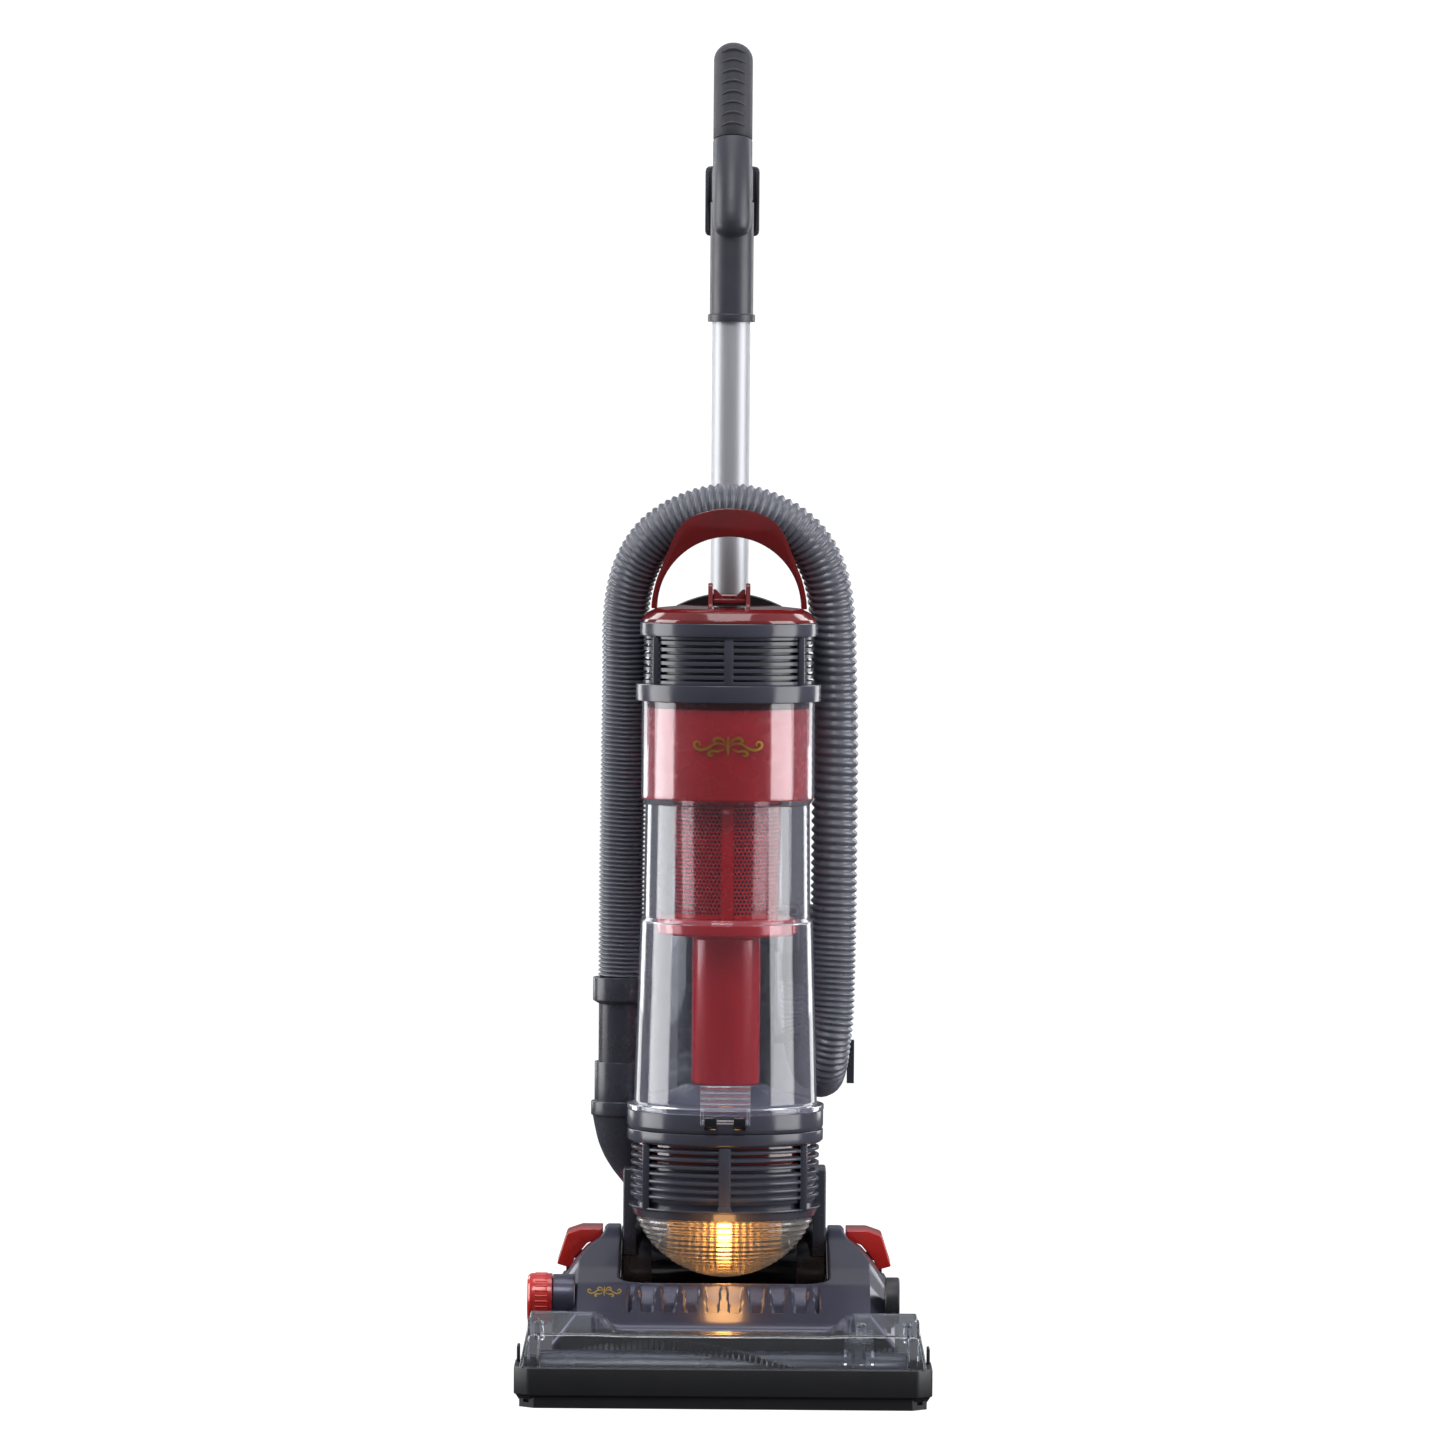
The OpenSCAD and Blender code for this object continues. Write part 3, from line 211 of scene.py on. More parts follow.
def lit_through(tree, shader, tint):
    """Lets lamps light what is behind a clear wall, tinted as the wall is."""
    path = add(tree, "ShaderNodeLightPath")
    through = add(tree, "ShaderNodeBsdfTransparent", {"Color": linear(tint)})
    inputs = {0: path.outputs["Is Shadow Ray"], 1: shader.outputs[0], 2: through.outputs[0]}
    return add(tree, "ShaderNodeMixShader", inputs).outputs[0]


def clear_abs(name, tint, roughness=0.03, scuff=0.05, haze="#b9bac9", milk=0.1):
    """Clear styrene: bright edges, sharp highlights, and the light scuffs that a handled bin collects."""
    material, tree = blank(name)
    place = object_place(tree)
    smear = speckle(tree, object_place(tree, (1.0, 1.0, 0.25)), 30.0, 5.0, 0.7)
    shader = add(tree, "ShaderNodeBsdfPrincipled", {
        "Base Color": linear(tint), "IOR": 1.49, "Transmission Weight": 1.0,
        "Roughness": spread(tree, smear, roughness, roughness + scuff, 0.45, 0.75),
        "Normal": bumped(tree, speckle(tree, place, 24.0, 1.0), 0.02)})
    frost = add(tree, "ShaderNodeBsdfPrincipled", {
        "Base Color": linear(haze), "IOR": 1.49,
        "Roughness": spread(tree, smear, 0.08, 0.16), "Coat Weight": 0.3, "Coat Roughness": 0.04})
    rim = add(tree, "ShaderNodeLayerWeight", {"Blend": 0.35}).outputs["Facing"]
    veil = add(tree, "ShaderNodeMapRange", {
        "Value": rim, "To Min": milk * 0.2, "To Max": milk * 6.0}).outputs[0]
    wall = add(tree, "ShaderNodeMixShader", {0: veil, 1: shader.outputs[0], 2: frost.outputs[0]})
    close(tree, lit_through(tree, wall, tint))
    return material


def ruby_abs(name, colour, second):
    """Ruby-tinted clear ABS over dark parts: blood red where light passes, near black in its depth."""
    material, tree = blank(name)
    place = object_place(tree)
    depth = speckle(tree, place, 30.0, 2.0)
    shader = add(tree, "ShaderNodeBsdfPrincipled", {
        "Base Color": blend_colours(tree, depth, colour, second),
        "Roughness": spread(tree, speckle(tree, place, 12.0, 4.0), 0.07, 0.14),
        "Normal": bumped(tree, speckle(tree, place, 16.0, 1.0), 0.02),
        "IOR": 1.55, "Transmission Weight": 0.35, "Coat Weight": 0.5, "Coat Roughness": 0.03})
    close(tree, shader.outputs[0])
    return material


def soft_elastomer(name, colour, second, roughness=0.62):
    """Overmoulded thermoplastic rubber: matt, slightly dusty in random patches, with a soft sheen."""
    material, tree = blank(name)
    place = object_place(tree)
    shader = add(tree, "ShaderNodeBsdfPrincipled", {
        "Base Color": blend_colours(tree, speckle(tree, place, 6.0, 5.0, 0.65), colour, second),
        "Roughness": spread(tree, speckle(tree, place, 3.0, 3.0), roughness - 0.06, roughness + 0.08),
        "Normal": bumped(tree, speckle(tree, place, 0.45, 2.0), 0.02),
        "IOR": 1.5, "Sheen Weight": 0.15, "Sheen Roughness": 0.5})
    close(tree, shader.outputs[0])
    return material


def anodised_tube(name, colour, second):
    """Drawn, anodised aluminium: a silvery satin with hair-fine draw lines along the tube."""
    material, tree = blank(name)
    lines = speckle(tree, object_place(tree, (1.0, 1.0, 0.012)), 0.5, 3.0)
    shader = add(tree, "ShaderNodeBsdfPrincipled", {
        "Base Color": blend_colours(tree, lines, colour, second),
        "Metallic": 0.55,
        "Roughness": spread(tree, lines, 0.42, 0.5),
        "Normal": bumped(tree, lines, 0.006)})
    close(tree, shader.outputs[0])
    return material


def bare_steel(name, colour, second):
    """Turned or pressed steel: grey, with fine turning marks and a few dull patches."""
    material, tree = blank(name)
    place = object_place(tree)
    marks = speckle(tree, object_place(tree, (0.08, 1.0, 1.0)), 0.6, 2.0)
    shader = add(tree, "ShaderNodeBsdfPrincipled", {
        "Base Color": blend_colours(tree, speckle(tree, place, 8.0, 3.0), colour, second),
        "Metallic": 1.0,
        "Roughness": spread(tree, speckle(tree, place, 5.0, 4.0), 0.3, 0.45),
        "Normal": bumped(tree, marks, 0.008)})
    close(tree, shader.outputs[0])
    return material


def vinyl_hose(name, colour, second):
    """Wire-cored PVC hose: dark smoky vinyl, glossy, with its roughness changing in small random patches."""
    material, tree = blank(name)
    place = object_place(tree)
    shader = add(tree, "ShaderNodeBsdfPrincipled", {
        "Base Color": blend_colours(tree, speckle(tree, place, 25.0, 3.0), colour, second),
        "Roughness": spread(tree, speckle(tree, place, 4.0, 3.0), 0.26, 0.4),
        "Normal": bumped(tree, speckle(tree, place, 1.2, 2.0), 0.03),
        "IOR": 1.54, "Coat Weight": 0.25, "Coat Roughness": 0.15})
    close(tree, shader.outputs[0])
    return material


def glowing(name, colour, strength):
    """Frosted lamp glass, lit from inside by its filament."""
    material, tree = blank(name)
    shader = add(tree, "ShaderNodeBsdfPrincipled", {
        "Base Color": linear(colour), "Emission Color": linear(colour), "Emission Strength": strength,
        "Roughness": spread(tree, speckle(tree, object_place(tree), 2.0), 0.25, 0.4)})
    close(tree, shader.outputs[0])
    return material


def foil(name, colour, second):
    """Hot-stamped gold foil: a warm metal shine with tiny breaks."""
    material, tree = blank(name)
    place = object_place(tree)
    shader = add(tree, "ShaderNodeBsdfPrincipled", {
        "Base Color": blend_colours(tree, speckle(tree, place, 1.5, 3.0), colour, second),
        "Metallic": 1.0,
        "Roughness": spread(tree, speckle(tree, place, 0.8, 3.0), 0.3, 0.5)})
    close(tree, shader.outputs[0])
    return material


FINISH = {
    "cover": flake_abs("mica_filled_abs_cover", "#3a3a4a", "#46465a"),
    "ring": moulded_abs("polished_abs_slate", "#444450", "#4b4b57", 0.17, 0.55, 0.006),
    "housing": moulded_abs("satin_abs_graphite", "#3a3a43", "#42424c", 0.26, 0.55, 0.012),
    "handle": moulded_abs("satin_abs_handle", "#36363f", "#3f3f49", 0.38, 0.6, 0.03),
    "black": moulded_abs("satin_abs_black", "#1b1b1f", "#232328", 0.32),
    "bumper": moulded_abs("textured_abs_bumper", "#212124", "#29292d", 0.42, 0.7, 0.04),
    "gloss_black": moulded_abs("polished_abs_black", "#15151a", "#1d1d24", 0.14, 1.2, 0.004, 0.4),
    "base": moulded_abs("textured_abs_base", "#161618", "#1e1e21", 0.5, 0.8, 0.05),
    "red": candy_abs("polished_abs_red", "#c01a12", "#cf2a20", 0.22),
    "deep_red": candy_abs("polished_abs_deep_red", "#a50c14", "#b4141c", 0.25),
    "tube_red": candy_abs("polished_abs_tube_red", "#a30c18", "#b31622", 0.22),
    "ruby": ruby_abs("ruby_clear_abs", "#6e0c0a", "#94141a"),
    "clear": clear_abs("clear_styrene_bin", "#f3f5fa", 0.02, 0.03, "#b9bac9", 0.035),
    "latch": clear_abs("clear_styrene_latch", "#f6f6fa", 0.04, 0.04, "#f0f0f6", 0.16),
    "window": clear_abs("clear_styrene_window", "#eef0f4", 0.02, 0.05, "#c5c6d0", 0.01),
    "lens": clear_abs("clear_ribbed_lens", "#fbf8f2", 0.06, 0.05, "#d8d6d2", 0.04),
    "hose": vinyl_hose("smoky_pvc_hose", "#5a5c66", "#6c6e79"),
    "tube": anodised_tube("satin_anodised_aluminium", "#acadb2", "#bebfc4"),
    "steel": bare_steel("bright_steel", "#8f9196", "#a8aaae"),
    "grip": soft_elastomer("black_soft_grip", "#2b2b32", "#36363e"),
    "tyre": soft_elastomer("black_tyre_rubber", "#1a1a1c", "#242427", 0.7),
    "belt": soft_elastomer("belt_rubber", "#121213", "#1b1b1c", 0.6),
    "bristle": soft_elastomer("nylon_bristle", "#141417", "#202024", 0.4),
    "dowel": moulded_abs("blue_grey_abs_roll", "#23262f", "#2c303b", 0.24),
    "lamp": glowing("frosted_lamp_glass", "#ffa850", 14.0),
    "mirror": bare_steel("vacuum_metallised_reflector", "#e2d6c4", "#efe6d8"),
    "gold": foil("gold_foil", "#b8963f", "#cdae5c"),
}


# ---- building meshes ----

def solid(name, points, faces):
    """A new mesh object at the origin, from points in millimetres."""
    mesh = bpy.data.meshes.new(name)
    mesh.from_pydata([Vector(p) * MM for p in points], [], faces)
    obj = bpy.data.objects.new(name, mesh)
    bpy.context.scene.collection.objects.link(obj)
    return obj


def tidy(obj, merge_mm=0.002):
    """Merges doubled points and turns all faces outwards."""
    work = bmesh.new()
    work.from_mesh(obj.data)
    bmesh.ops.remove_doubles(work, verts=work.verts, dist=merge_mm * MM)
    bmesh.ops.recalc_face_normals(work, faces=work.faces)
    work.to_mesh(obj.data)
    work.free()
    return obj


def smooth(obj, angle=32.0):
    """Smooth shading, with creases kept where the surface turns sharply."""
    for polygon in obj.data.polygons:
        polygon.use_smooth = True
    obj.data.set_sharp_from_angle(angle=math.radians(angle))
    return obj


def settle(obj):
    """Turns the object's modifiers into plain mesh."""
    graph = bpy.context.evaluated_depsgraph_get()
    mesh = bpy.data.meshes.new_from_object(obj.evaluated_get(graph))
    obj.modifiers.clear()
    obj.data = mesh
    return obj


def bevelled(obj, width_mm, segments=2, angle=35.0):
    """Rounds the sharp edges."""
    if width_mm > 0:
        rounder = obj.modifiers.new("edges", "BEVEL")
        rounder.width = width_mm * MM
        rounder.segments = segments
        rounder.limit_method = "ANGLE"
        rounder.angle_limit = math.radians(angle)
        settle(obj)
    return obj


def cut(obj, *tools):
    """Cuts the tools out of the object and removes them."""
    for tool in tools:
        knife = obj.modifiers.new("cut", "BOOLEAN")
        knife.operation = "DIFFERENCE"
        knife.solver = "EXACT"
        knife.object = tool
        settle(obj)
        bpy.data.objects.remove(tool)
    return obj


def join(name, *parts):
    """One object made of the given ones."""
    work = bmesh.new()
    for part in parts:
        work.from_mesh(part.data)
    mesh = bpy.data.meshes.new(name)
    work.to_mesh(mesh)
    work.free()
    for part in parts:
        bpy.data.objects.remove(part)
    obj = bpy.data.objects.new(name, mesh)
    bpy.context.scene.collection.objects.link(obj)
    return obj


def rounded(outline, radius=0.0, steps=3):
    """A closed outline with its corners rounded; a point may give its own radius as a third number."""
    result = []
    for i, corner in enumerate(outline):
        here = Vector(corner[:2])
        reach = corner[2] if len(corner) > 2 else radius
        back = Vector(outline[i - 1][:2]) - here
        ahead = Vector(outline[(i + 1) % len(outline)][:2]) - here
        turn = math.pi - back.angle(ahead, math.pi)
        if reach == 0 or turn < 0.05:
            result.append(tuple(here))
            continue
        reach = min(reach * math.tan(turn / 2), back.length * 0.48, ahead.length * 0.48)
        start = here + back.normalized() * reach
        end = here + ahead.normalized() * reach
        for k in range(steps + 1):
            t = k / steps
            result.append(tuple((1 - t) ** 2 * start + 2 * (1 - t) * t * here + t * t * end))
    return result


def turned(name, outline, centre=BIN_AXIS, sides=96, radius=0.0):
    """A closed outline of (radius, height) turned round an upright axis."""
    ring = rounded(outline, radius)
    points = []
    for r, z in ring:
        for k in range(sides):
            angle = TURN * k / sides
            points.append((centre[0] + r * math.cos(angle), centre[1] + r * math.sin(angle), z))
    faces = []
    for i in range(len(ring)):
        j = (i + 1) % len(ring)
        for k in range(sides):
            m = (k + 1) % sides
            faces.append((i * sides + k, i * sides + m, j * sides + m, j * sides + k))
    return smooth(tidy(solid(name, points, faces)))


def part_turned(name, outline, centre, start, end, sides=72, radius=0.0):
    """A closed outline of (radius, height) turned through part of a circle, with flat ends."""
    ring = rounded(outline, radius)
    n = len(ring)
    points = []
    for k in range(sides + 1):
        angle = start + (end - start) * k / sides
        points += [(centre[0] + r * math.cos(angle), centre[1] + r * math.sin(angle), z) for r, z in ring]
    faces = [tuple(range(n)), tuple(sides * n + i for i in reversed(range(n)))]
    faces += [(k * n + i, (k + 1) * n + i, (k + 1) * n + (i + 1) % n, k * n + (i + 1) % n)
              for k in range(sides) for i in range(n)]
    return smooth(tidy(solid(name, points, faces)))


def hoop(name, outer, inner, low, high, centre=BIN_AXIS, radius=0.6, sides=96):
    """A round band between two radii and two heights, with soft edges."""
    outline = [(inner, low), (outer, low), (outer, high), (inner, high)]
    return turned(name, outline, centre, sides, radius)


AXES = {"x": lambda u, v, w: (w, u, v), "y": lambda u, v, w: (u, w, v), "z": lambda u, v, w: (u, v, w)}


def pulled(name, outline, axis, low, high, edge=0.6, segments=2):
    """A closed outline pulled out along an axis, with rounded edges."""
    place = AXES[axis]
    n = len(outline)
    points = [place(u, v, w) for w in (low, high) for u, v in outline]
    faces = [tuple(range(n)), tuple(range(2 * n - 1, n - 1, -1))]
    faces += [(i, n + i, n + (i + 1) % n, (i + 1) % n) for i in range(n)]
    return smooth(bevelled(tidy(solid(name, points, faces)), edge, segments))


def brick(name, low, high, edge=0.6, segments=2):
    """A box between two corners, with rounded edges."""
    outline = [(low[0], low[1]), (high[0], low[1]), (high[0], high[1]), (low[0], high[1])]
    return pulled(name, outline, "z", low[2], high[2], edge, segments)


def rod(name, axis, low, high, centre, radius, edge=0.6, sides=64):
    """A round bar along an axis, whose rims are rounded by edge."""
    profile = rounded([(0, low), (radius, low, edge), (radius, high, edge), (0, high)])
    place = AXES[axis]
    points, faces = [], []
    for r, w in profile:
        for k in range(sides):
            angle = TURN * k / sides
            points.append(place(centre[0] + r * math.cos(angle), centre[1] + r * math.sin(angle), w))
    for i in range(len(profile) - 1):
        for k in range(sides):
            m = (k + 1) % sides
            faces.append((i * sides + k, i * sides + m, (i + 1) * sides + m, (i + 1) * sides + k))
    return smooth(tidy(solid(name, points, faces)))


def circle(x, y, radius, sides=96, start=0.0, end=TURN):
    """Points round a circle, or along an arc of it."""
    whole = abs(end - start - TURN) < 1e-6
    count = sides if whole else sides + 1
    return [(x + radius * math.cos(start + (end - start) * k / sides),
             y + radius * math.sin(start + (end - start) * k / sides)) for k in range(count)]


def curve_through(points, per=8):
    """A smooth line through the points, with per steps between each two."""
    line = []
    for i in range(len(points) - 1):
        a = Vector(points[max(i - 1, 0)])
        b = Vector(points[i])
        c = Vector(points[i + 1])
        d = Vector(points[min(i + 2, len(points) - 1)])
        for k in range(per):
            t = k / per
            line.append(0.5 * (2 * b + (c - a) * t + (2 * a - 5 * b + 4 * c - d) * t * t
                               + (3 * b - a - 3 * c + d) * t * t * t))
    line.append(Vector(points[-1]))
    return line


def even(line, step):
    """The line again with points an even distance apart, and its length."""
    lengths = [0.0]
    for a, b in zip(line, line[1:]):
        lengths.append(lengths[-1] + (b - a).length)
    total = lengths[-1]
    count = max(2, round(total / step))
    result, i = [], 0
    for k in range(count + 1):
        want = total * k / count
        while i < len(lengths) - 2 and lengths[i + 1] < want:
            i += 1
        share = (want - lengths[i]) / (lengths[i + 1] - lengths[i])
        result.append(line[i].lerp(line[i + 1], share))
    return result, total


def skin(name, rings, closed_ends=True):
    """A tube through rings of points that all have the same number of sides."""
    sides = len(rings[0])
    points = [p for ring in rings for p in ring]
    faces = []
    for i in range(len(rings) - 1):
        for k in range(sides):
            m = (k + 1) % sides
            faces.append((i * sides + k, i * sides + m, (i + 1) * sides + m, (i + 1) * sides + k))
    if closed_ends:
        last = (len(rings) - 1) * sides
        faces.append(tuple(reversed(range(sides))))
        faces.append(tuple(last + k for k in range(sides)))
    return tidy(solid(name, points, faces), 0.0005)


def side_of(direction):
    """Two directions square to the given one, the first level."""
    along = direction.normalized()
    level = Vector((0, 1, 0)).cross(along)
    level = level.normalized() if level.length > 1e-4 else Vector((1, 0, 0))
    return level, along.cross(level)


def piece(obj, body, slot, finish, *nodes):
    """Gives a finished mesh its material and its body, and hides the CAD nodes it stands for; the slot is not
    used.
    """
    obj.data.materials.clear()
    obj.data.materials.append(FINISH[finish])
    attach(obj, body)
    if nodes:
        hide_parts(*nodes)
    return obj


# ---- geometry-node trees for what repeats ----

def repeat_tree(name):
    """Copies a stamp round an upright axis in rows, Pitch apart, with every other row turned."""
    tree = bpy.data.node_groups.new(name, "GeometryNodeTree")
    sockets = (("Stamp", "NodeSocketObject"), ("Count", "NodeSocketInt"), ("Rows", "NodeSocketInt"),
               ("Foot Radius", "NodeSocketFloat"), ("Top Radius", "NodeSocketFloat"),
               ("Foot", "NodeSocketVector"), ("Pitch", "NodeSocketFloat"), ("Stagger", "NodeSocketFloat"),
               ("Twist", "NodeSocketFloat"), ("Start", "NodeSocketFloat"), ("Sweep", "NodeSocketFloat"),
               ("Finish", "NodeSocketMaterial"))
    tree.interface.new_socket("Geometry", in_out="OUTPUT", socket_type="NodeSocketGeometry")
    for label, kind in sockets:
        tree.interface.new_socket(label, in_out="INPUT", socket_type=kind)
    given = add(tree, "NodeGroupInput").outputs

    def maths(operation, *values):
        return add(tree, "ShaderNodeMath", dict(enumerate(values)), operation=operation).outputs[0]

    total = maths("MULTIPLY", given["Count"], given["Rows"])
    points = add(tree, "GeometryNodePoints", {"Count": total})
    index = add(tree, "GeometryNodeInputIndex").outputs[0]
    row = maths("FLOOR", maths("DIVIDE", maths("ADD", index, 0.5), given["Count"]))
    column = maths("SUBTRACT", index, maths("MULTIPLY", row, given["Count"]))
    turn = maths("MULTIPLY", maths("MODULO", row, 2.0), given["Stagger"])
    share = maths("DIVIDE", maths("ADD", column, turn), given["Count"])
    spiral = maths("ADD", given["Start"], maths("MULTIPLY", row, given["Twist"]))
    angle = maths("ADD", spiral, maths("MULTIPLY", share, given["Sweep"]))
    rise = maths("DIVIDE", row, maths("MAXIMUM", maths("SUBTRACT", given["Rows"], 1.0), 1.0))
    growth = maths("MULTIPLY", rise, maths("SUBTRACT", given["Top Radius"], given["Foot Radius"]))
    radius = maths("ADD", given["Foot Radius"], growth)
    offset = add(tree, "ShaderNodeCombineXYZ", {
        0: maths("MULTIPLY", radius, maths("COSINE", angle)),
        1: maths("MULTIPLY", radius, maths("SINE", angle)),
        2: maths("MULTIPLY", row, given["Pitch"])}).outputs[0]
    place = add(tree, "ShaderNodeVectorMath", {0: given["Foot"], 1: offset}, operation="ADD").outputs[0]
    spots = add(tree, "GeometryNodeSetPosition", {"Geometry": points.outputs[0], "Position": place})
    stamp = add(tree, "GeometryNodeObjectInfo", {"Object": given["Stamp"]})
    facing = add(tree, "ShaderNodeCombineXYZ", {2: angle}).outputs[0]
    copies = add(tree, "GeometryNodeInstanceOnPoints", {
        "Points": spots.outputs[0], "Instance": stamp.outputs["Geometry"], "Rotation": facing})
    real = add(tree, "GeometryNodeRealizeInstances", {"Geometry": copies.outputs[0]})
    done = add(tree, "GeometryNodeSetMaterial", {"Geometry": real.outputs[0], "Material": given["Finish"]})
    add(tree, "NodeGroupOutput", {0: done.outputs[0]})
    return tree


REPEAT = repeat_tree("rows_round_an_axis")


def repeated(name, stamp, finish, count=1, rows=1, foot_radius=0.0, top_radius=None, foot=(0, 0, 0),
             pitch=0.0, stagger=0.0, twist=0.0, start=0.0, sweep=TURN, keep_stamp=False):
    """Copies of a stamp made at the origin, in rows round an upright axis; lengths in millimetres."""
    host = solid(name, [], [])
    rows_of = host.modifiers.new("rows", "NODES")
    rows_of.node_group = REPEAT
    top = foot_radius if top_radius is None else top_radius
    values = {"Stamp": stamp, "Count": count, "Rows": rows, "Foot Radius": foot_radius * MM,
              "Top Radius": top * MM, "Foot": Vector(foot) * MM, "Pitch": pitch * MM,
              "Stagger": stagger, "Twist": twist, "Start": start, "Sweep": sweep, "Finish": FINISH[finish]}
    for item in REPEAT.interface.items_tree:
        if item.in_out == "INPUT":
            rows_of[item.identifier] = values[item.name]
    settle(host)
    if not keep_stamp:
        bpy.data.objects.remove(stamp)
    return smooth(host)


# ---- hose ----

# Middle line of the hose, from the cuff over the carry handle to the inlet elbow
HOSE_POINTS = [
    (-88, 80, 335), (-88, 80, 360), (-88, 79, 420), (-87.5, 76, 480),
    (-87, 72, 540), (-86.5, 67, 590), (-86, 60, 640), (-78.5, 51, 677),
    (-60.5, 42, 705.5), (-32, 37, 723.5), (0, 36, 730), (32, 37, 723.5),
    (60.5, 42, 705.5), (78.5, 51, 677), (86, 60, 640), (88, 67, 590),
    (89.5, 71, 540), (89.5, 73, 480), (89.5, 74, 420), (89, 74, 360),
    (88, 73, 310), (86, 75, 285), (83, 86, 263), (79.5, 110, 252),
    (74, 134, 262), (69.5, 146, 286), (68, 148, 310), (68, 148, 325)]
HOSE_R = 19.4
HOSE_FOLD = 2.5            # depth of the folds between the ribs
HOSE_SIDES = 28
HOSE_STEPS = 7             # rings for each rib
# Rib spacing in millimetres at shares of the hose's length: close at first, then stretched
HOSE_PITCH = ((0.0, 3.7), (0.2, 3.8), (0.3, 5.0), (0.42, 5.6), (0.5, 6.4), (0.62, 8.0), (0.72, 7.0),
              (0.8, 4.8), (1.0, 4.4))


def pitch_at(share):
    """Rib spacing at a share of the hose's length."""
    for (a, first), (b, second) in zip(HOSE_PITCH, HOSE_PITCH[1:]):
        if share <= b:
            return first + (second - first) * (share - a) / (b - a)
    return HOSE_PITCH[-1][1]


CUFF_LOW, CUFF_HIGH = box_mm("hose_cuff")
PORT_X = (CUFF_LOW.x + CUFF_HIGH.x) / 2
PORT_Y = (CUFF_LOW.y + CUFF_HIGH.y) / 2


def make_cuff():
    """The hose's cuff and the wider collar at its top."""
    outline = [(15.6, CUFF_LOW.z), (18.6, CUFF_LOW.z, 0.8), (18.6, 312.4, 0.5), (23.6, 315.4, 0.8),
               (23.6, CUFF_HIGH.z - 0.2, 1.0), (20.3, CUFF_HIGH.z - 0.2, 0.4), (20.0, CUFF_HIGH.z - 2, 0.2),
               (15.6, CUFF_HIGH.z - 2)]
    return turned("hose_cuff_and_collar", outline, (PORT_X, PORT_Y), 72)


def make_hose(cuff):
    """The corrugated hose, with its ribs' spiral, which ends at the cuff; the cuff argument is not used."""
    middle, length = even(curve_through(HOSE_POINTS), 1.0)
    steps = len(middle) - 1
    along, distance, phase = [], 0.0, 0.0
    while distance < length:
        along.append((distance, phase))
        pitch = pitch_at(distance / length)
        distance += pitch / HOSE_STEPS
        phase += 1.0 / HOSE_STEPS
    along.append((length, phase))
    rings, path = [], []
    for distance, phase in along:
        spot = distance / length * steps
        i = min(int(spot), steps - 1)
        centre = middle[i].lerp(middle[i + 1], spot - i)
        heading = middle[min(i + 2, steps)] - middle[max(i - 1, 0)]
        level, upward = side_of(heading)
        ring = []
        for k in range(HOSE_SIDES):
            angle = TURN * k / HOSE_SIDES
            wave = 0.5 + 0.5 * math.cos(TURN * (phase + k / HOSE_SIDES))
            radius = HOSE_R - HOSE_FOLD * (1 - wave ** 0.7)
            ring.append(centre + radius * (math.cos(angle) * level + math.sin(angle) * upward))
        rings.append(ring)
        path.append(centre * MM)
    hose = smooth(skin("suction_hose", rings), 75.0)
    piece(hose, "upright", "hose_plastic", "hose", "hose")
    Vector(HOSE_POINTS[0]) * MM
    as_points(path)


make_hose(piece(make_cuff(), "upright", "dark_grey_plastic", "housing", "hose_cuff"))


# ---- cleaning head ----

COVER_LOW, COVER_HIGH = box_mm("head_cover")
WINDOW_LOW, WINDOW_HIGH = box_mm("brush_window")
ROLL_LOW, ROLL_HIGH = box_mm("brush_dowel")
KNOB_LOW, KNOB_HIGH = box_mm("height_knob")
CAP_LOW, CAP_HIGH = box_mm("side_cap")
PEDAL_LOW, PEDAL_HIGH = box_mm("power_pedal")
PAN_LOW, PAN_HIGH = box_mm("cover_pan")
WHEEL_LOW, WHEEL_HIGH = box_mm("wheel_right")
ROLL_Y = (ROLL_LOW.y + ROLL_HIGH.y) / 2
ROLL_Z = (ROLL_LOW.z + ROLL_HIGH.z) / 2
ROLL_R = (ROLL_HIGH.z - ROLL_LOW.z) / 2
KNOB_Y = (CAP_LOW.y + CAP_HIGH.y) / 2
KNOB_Z = (KNOB_LOW.z + KNOB_HIGH.z) / 2
KNOB_R = (KNOB_HIGH.z - KNOB_LOW.z) / 2
WHEEL_Y = (WHEEL_LOW.y + WHEEL_HIGH.y) / 2
WHEEL_R = (WHEEL_HIGH.z - WHEEL_LOW.z) / 2

NOTCH_HALF = PAN_HIGH.x + 0.3            # the cover's notch, round the pan
NOTCH_FRONT = PAN_LOW.y - 0.3
NOTCH_R = 20.0
NOSE_HALF = 86.0                         # the cover's nose dips between the window's shoulders
SHOULDER = 110.0
NOSE_TIP = COVER_LOW.y + 0.2
SHOULDER_Y = FRONT + 53.0
FLUTES = 9
FLUTE_PITCH = 17.9
FLUTE_TOP = FRONT + 100.0
FLUTE_FOOT = FRONT + 60.0
FACET_X = 120.0                          # where the cover's side facets start
FACET_FALL = 1.19
COVER_T = 2.4

# Height of the cover along its middle, from the nose to the back
COVER_SPINE = ((-137, 61.5), (-131, 65.5), (-112, 73.6), (-72, 92.6), (-20, 100), (44, 119.5),
               (57, 127.4), (87, 127.4), (103, 118), (118, 95))
# Height that the cover's front outline allows at a distance from the middle
COVER_FLANK = ((0, 127.6), (97, 127.6), (99.5, 125.6), (102.5, 119.5), (114.5, 112), (125, 99.5),
               (131, 90), (137, 80), (139.3, 76), (140, 70))


def ease(t):
    """A smooth step from 0 to 1."""
    t = min(max(t, 0.0), 1.0)
    return t * t * (3 - 2 * t)


def level_at(line, x):
    """Height of a broken line at x."""
    if x <= line[0][0]:
        return line[0][1]
    for (a, first), (b, second) in zip(line, line[1:]):
        if x <= b:
            return first + (second - first) * (x - a) / (b - a)
    return line[-1][1]


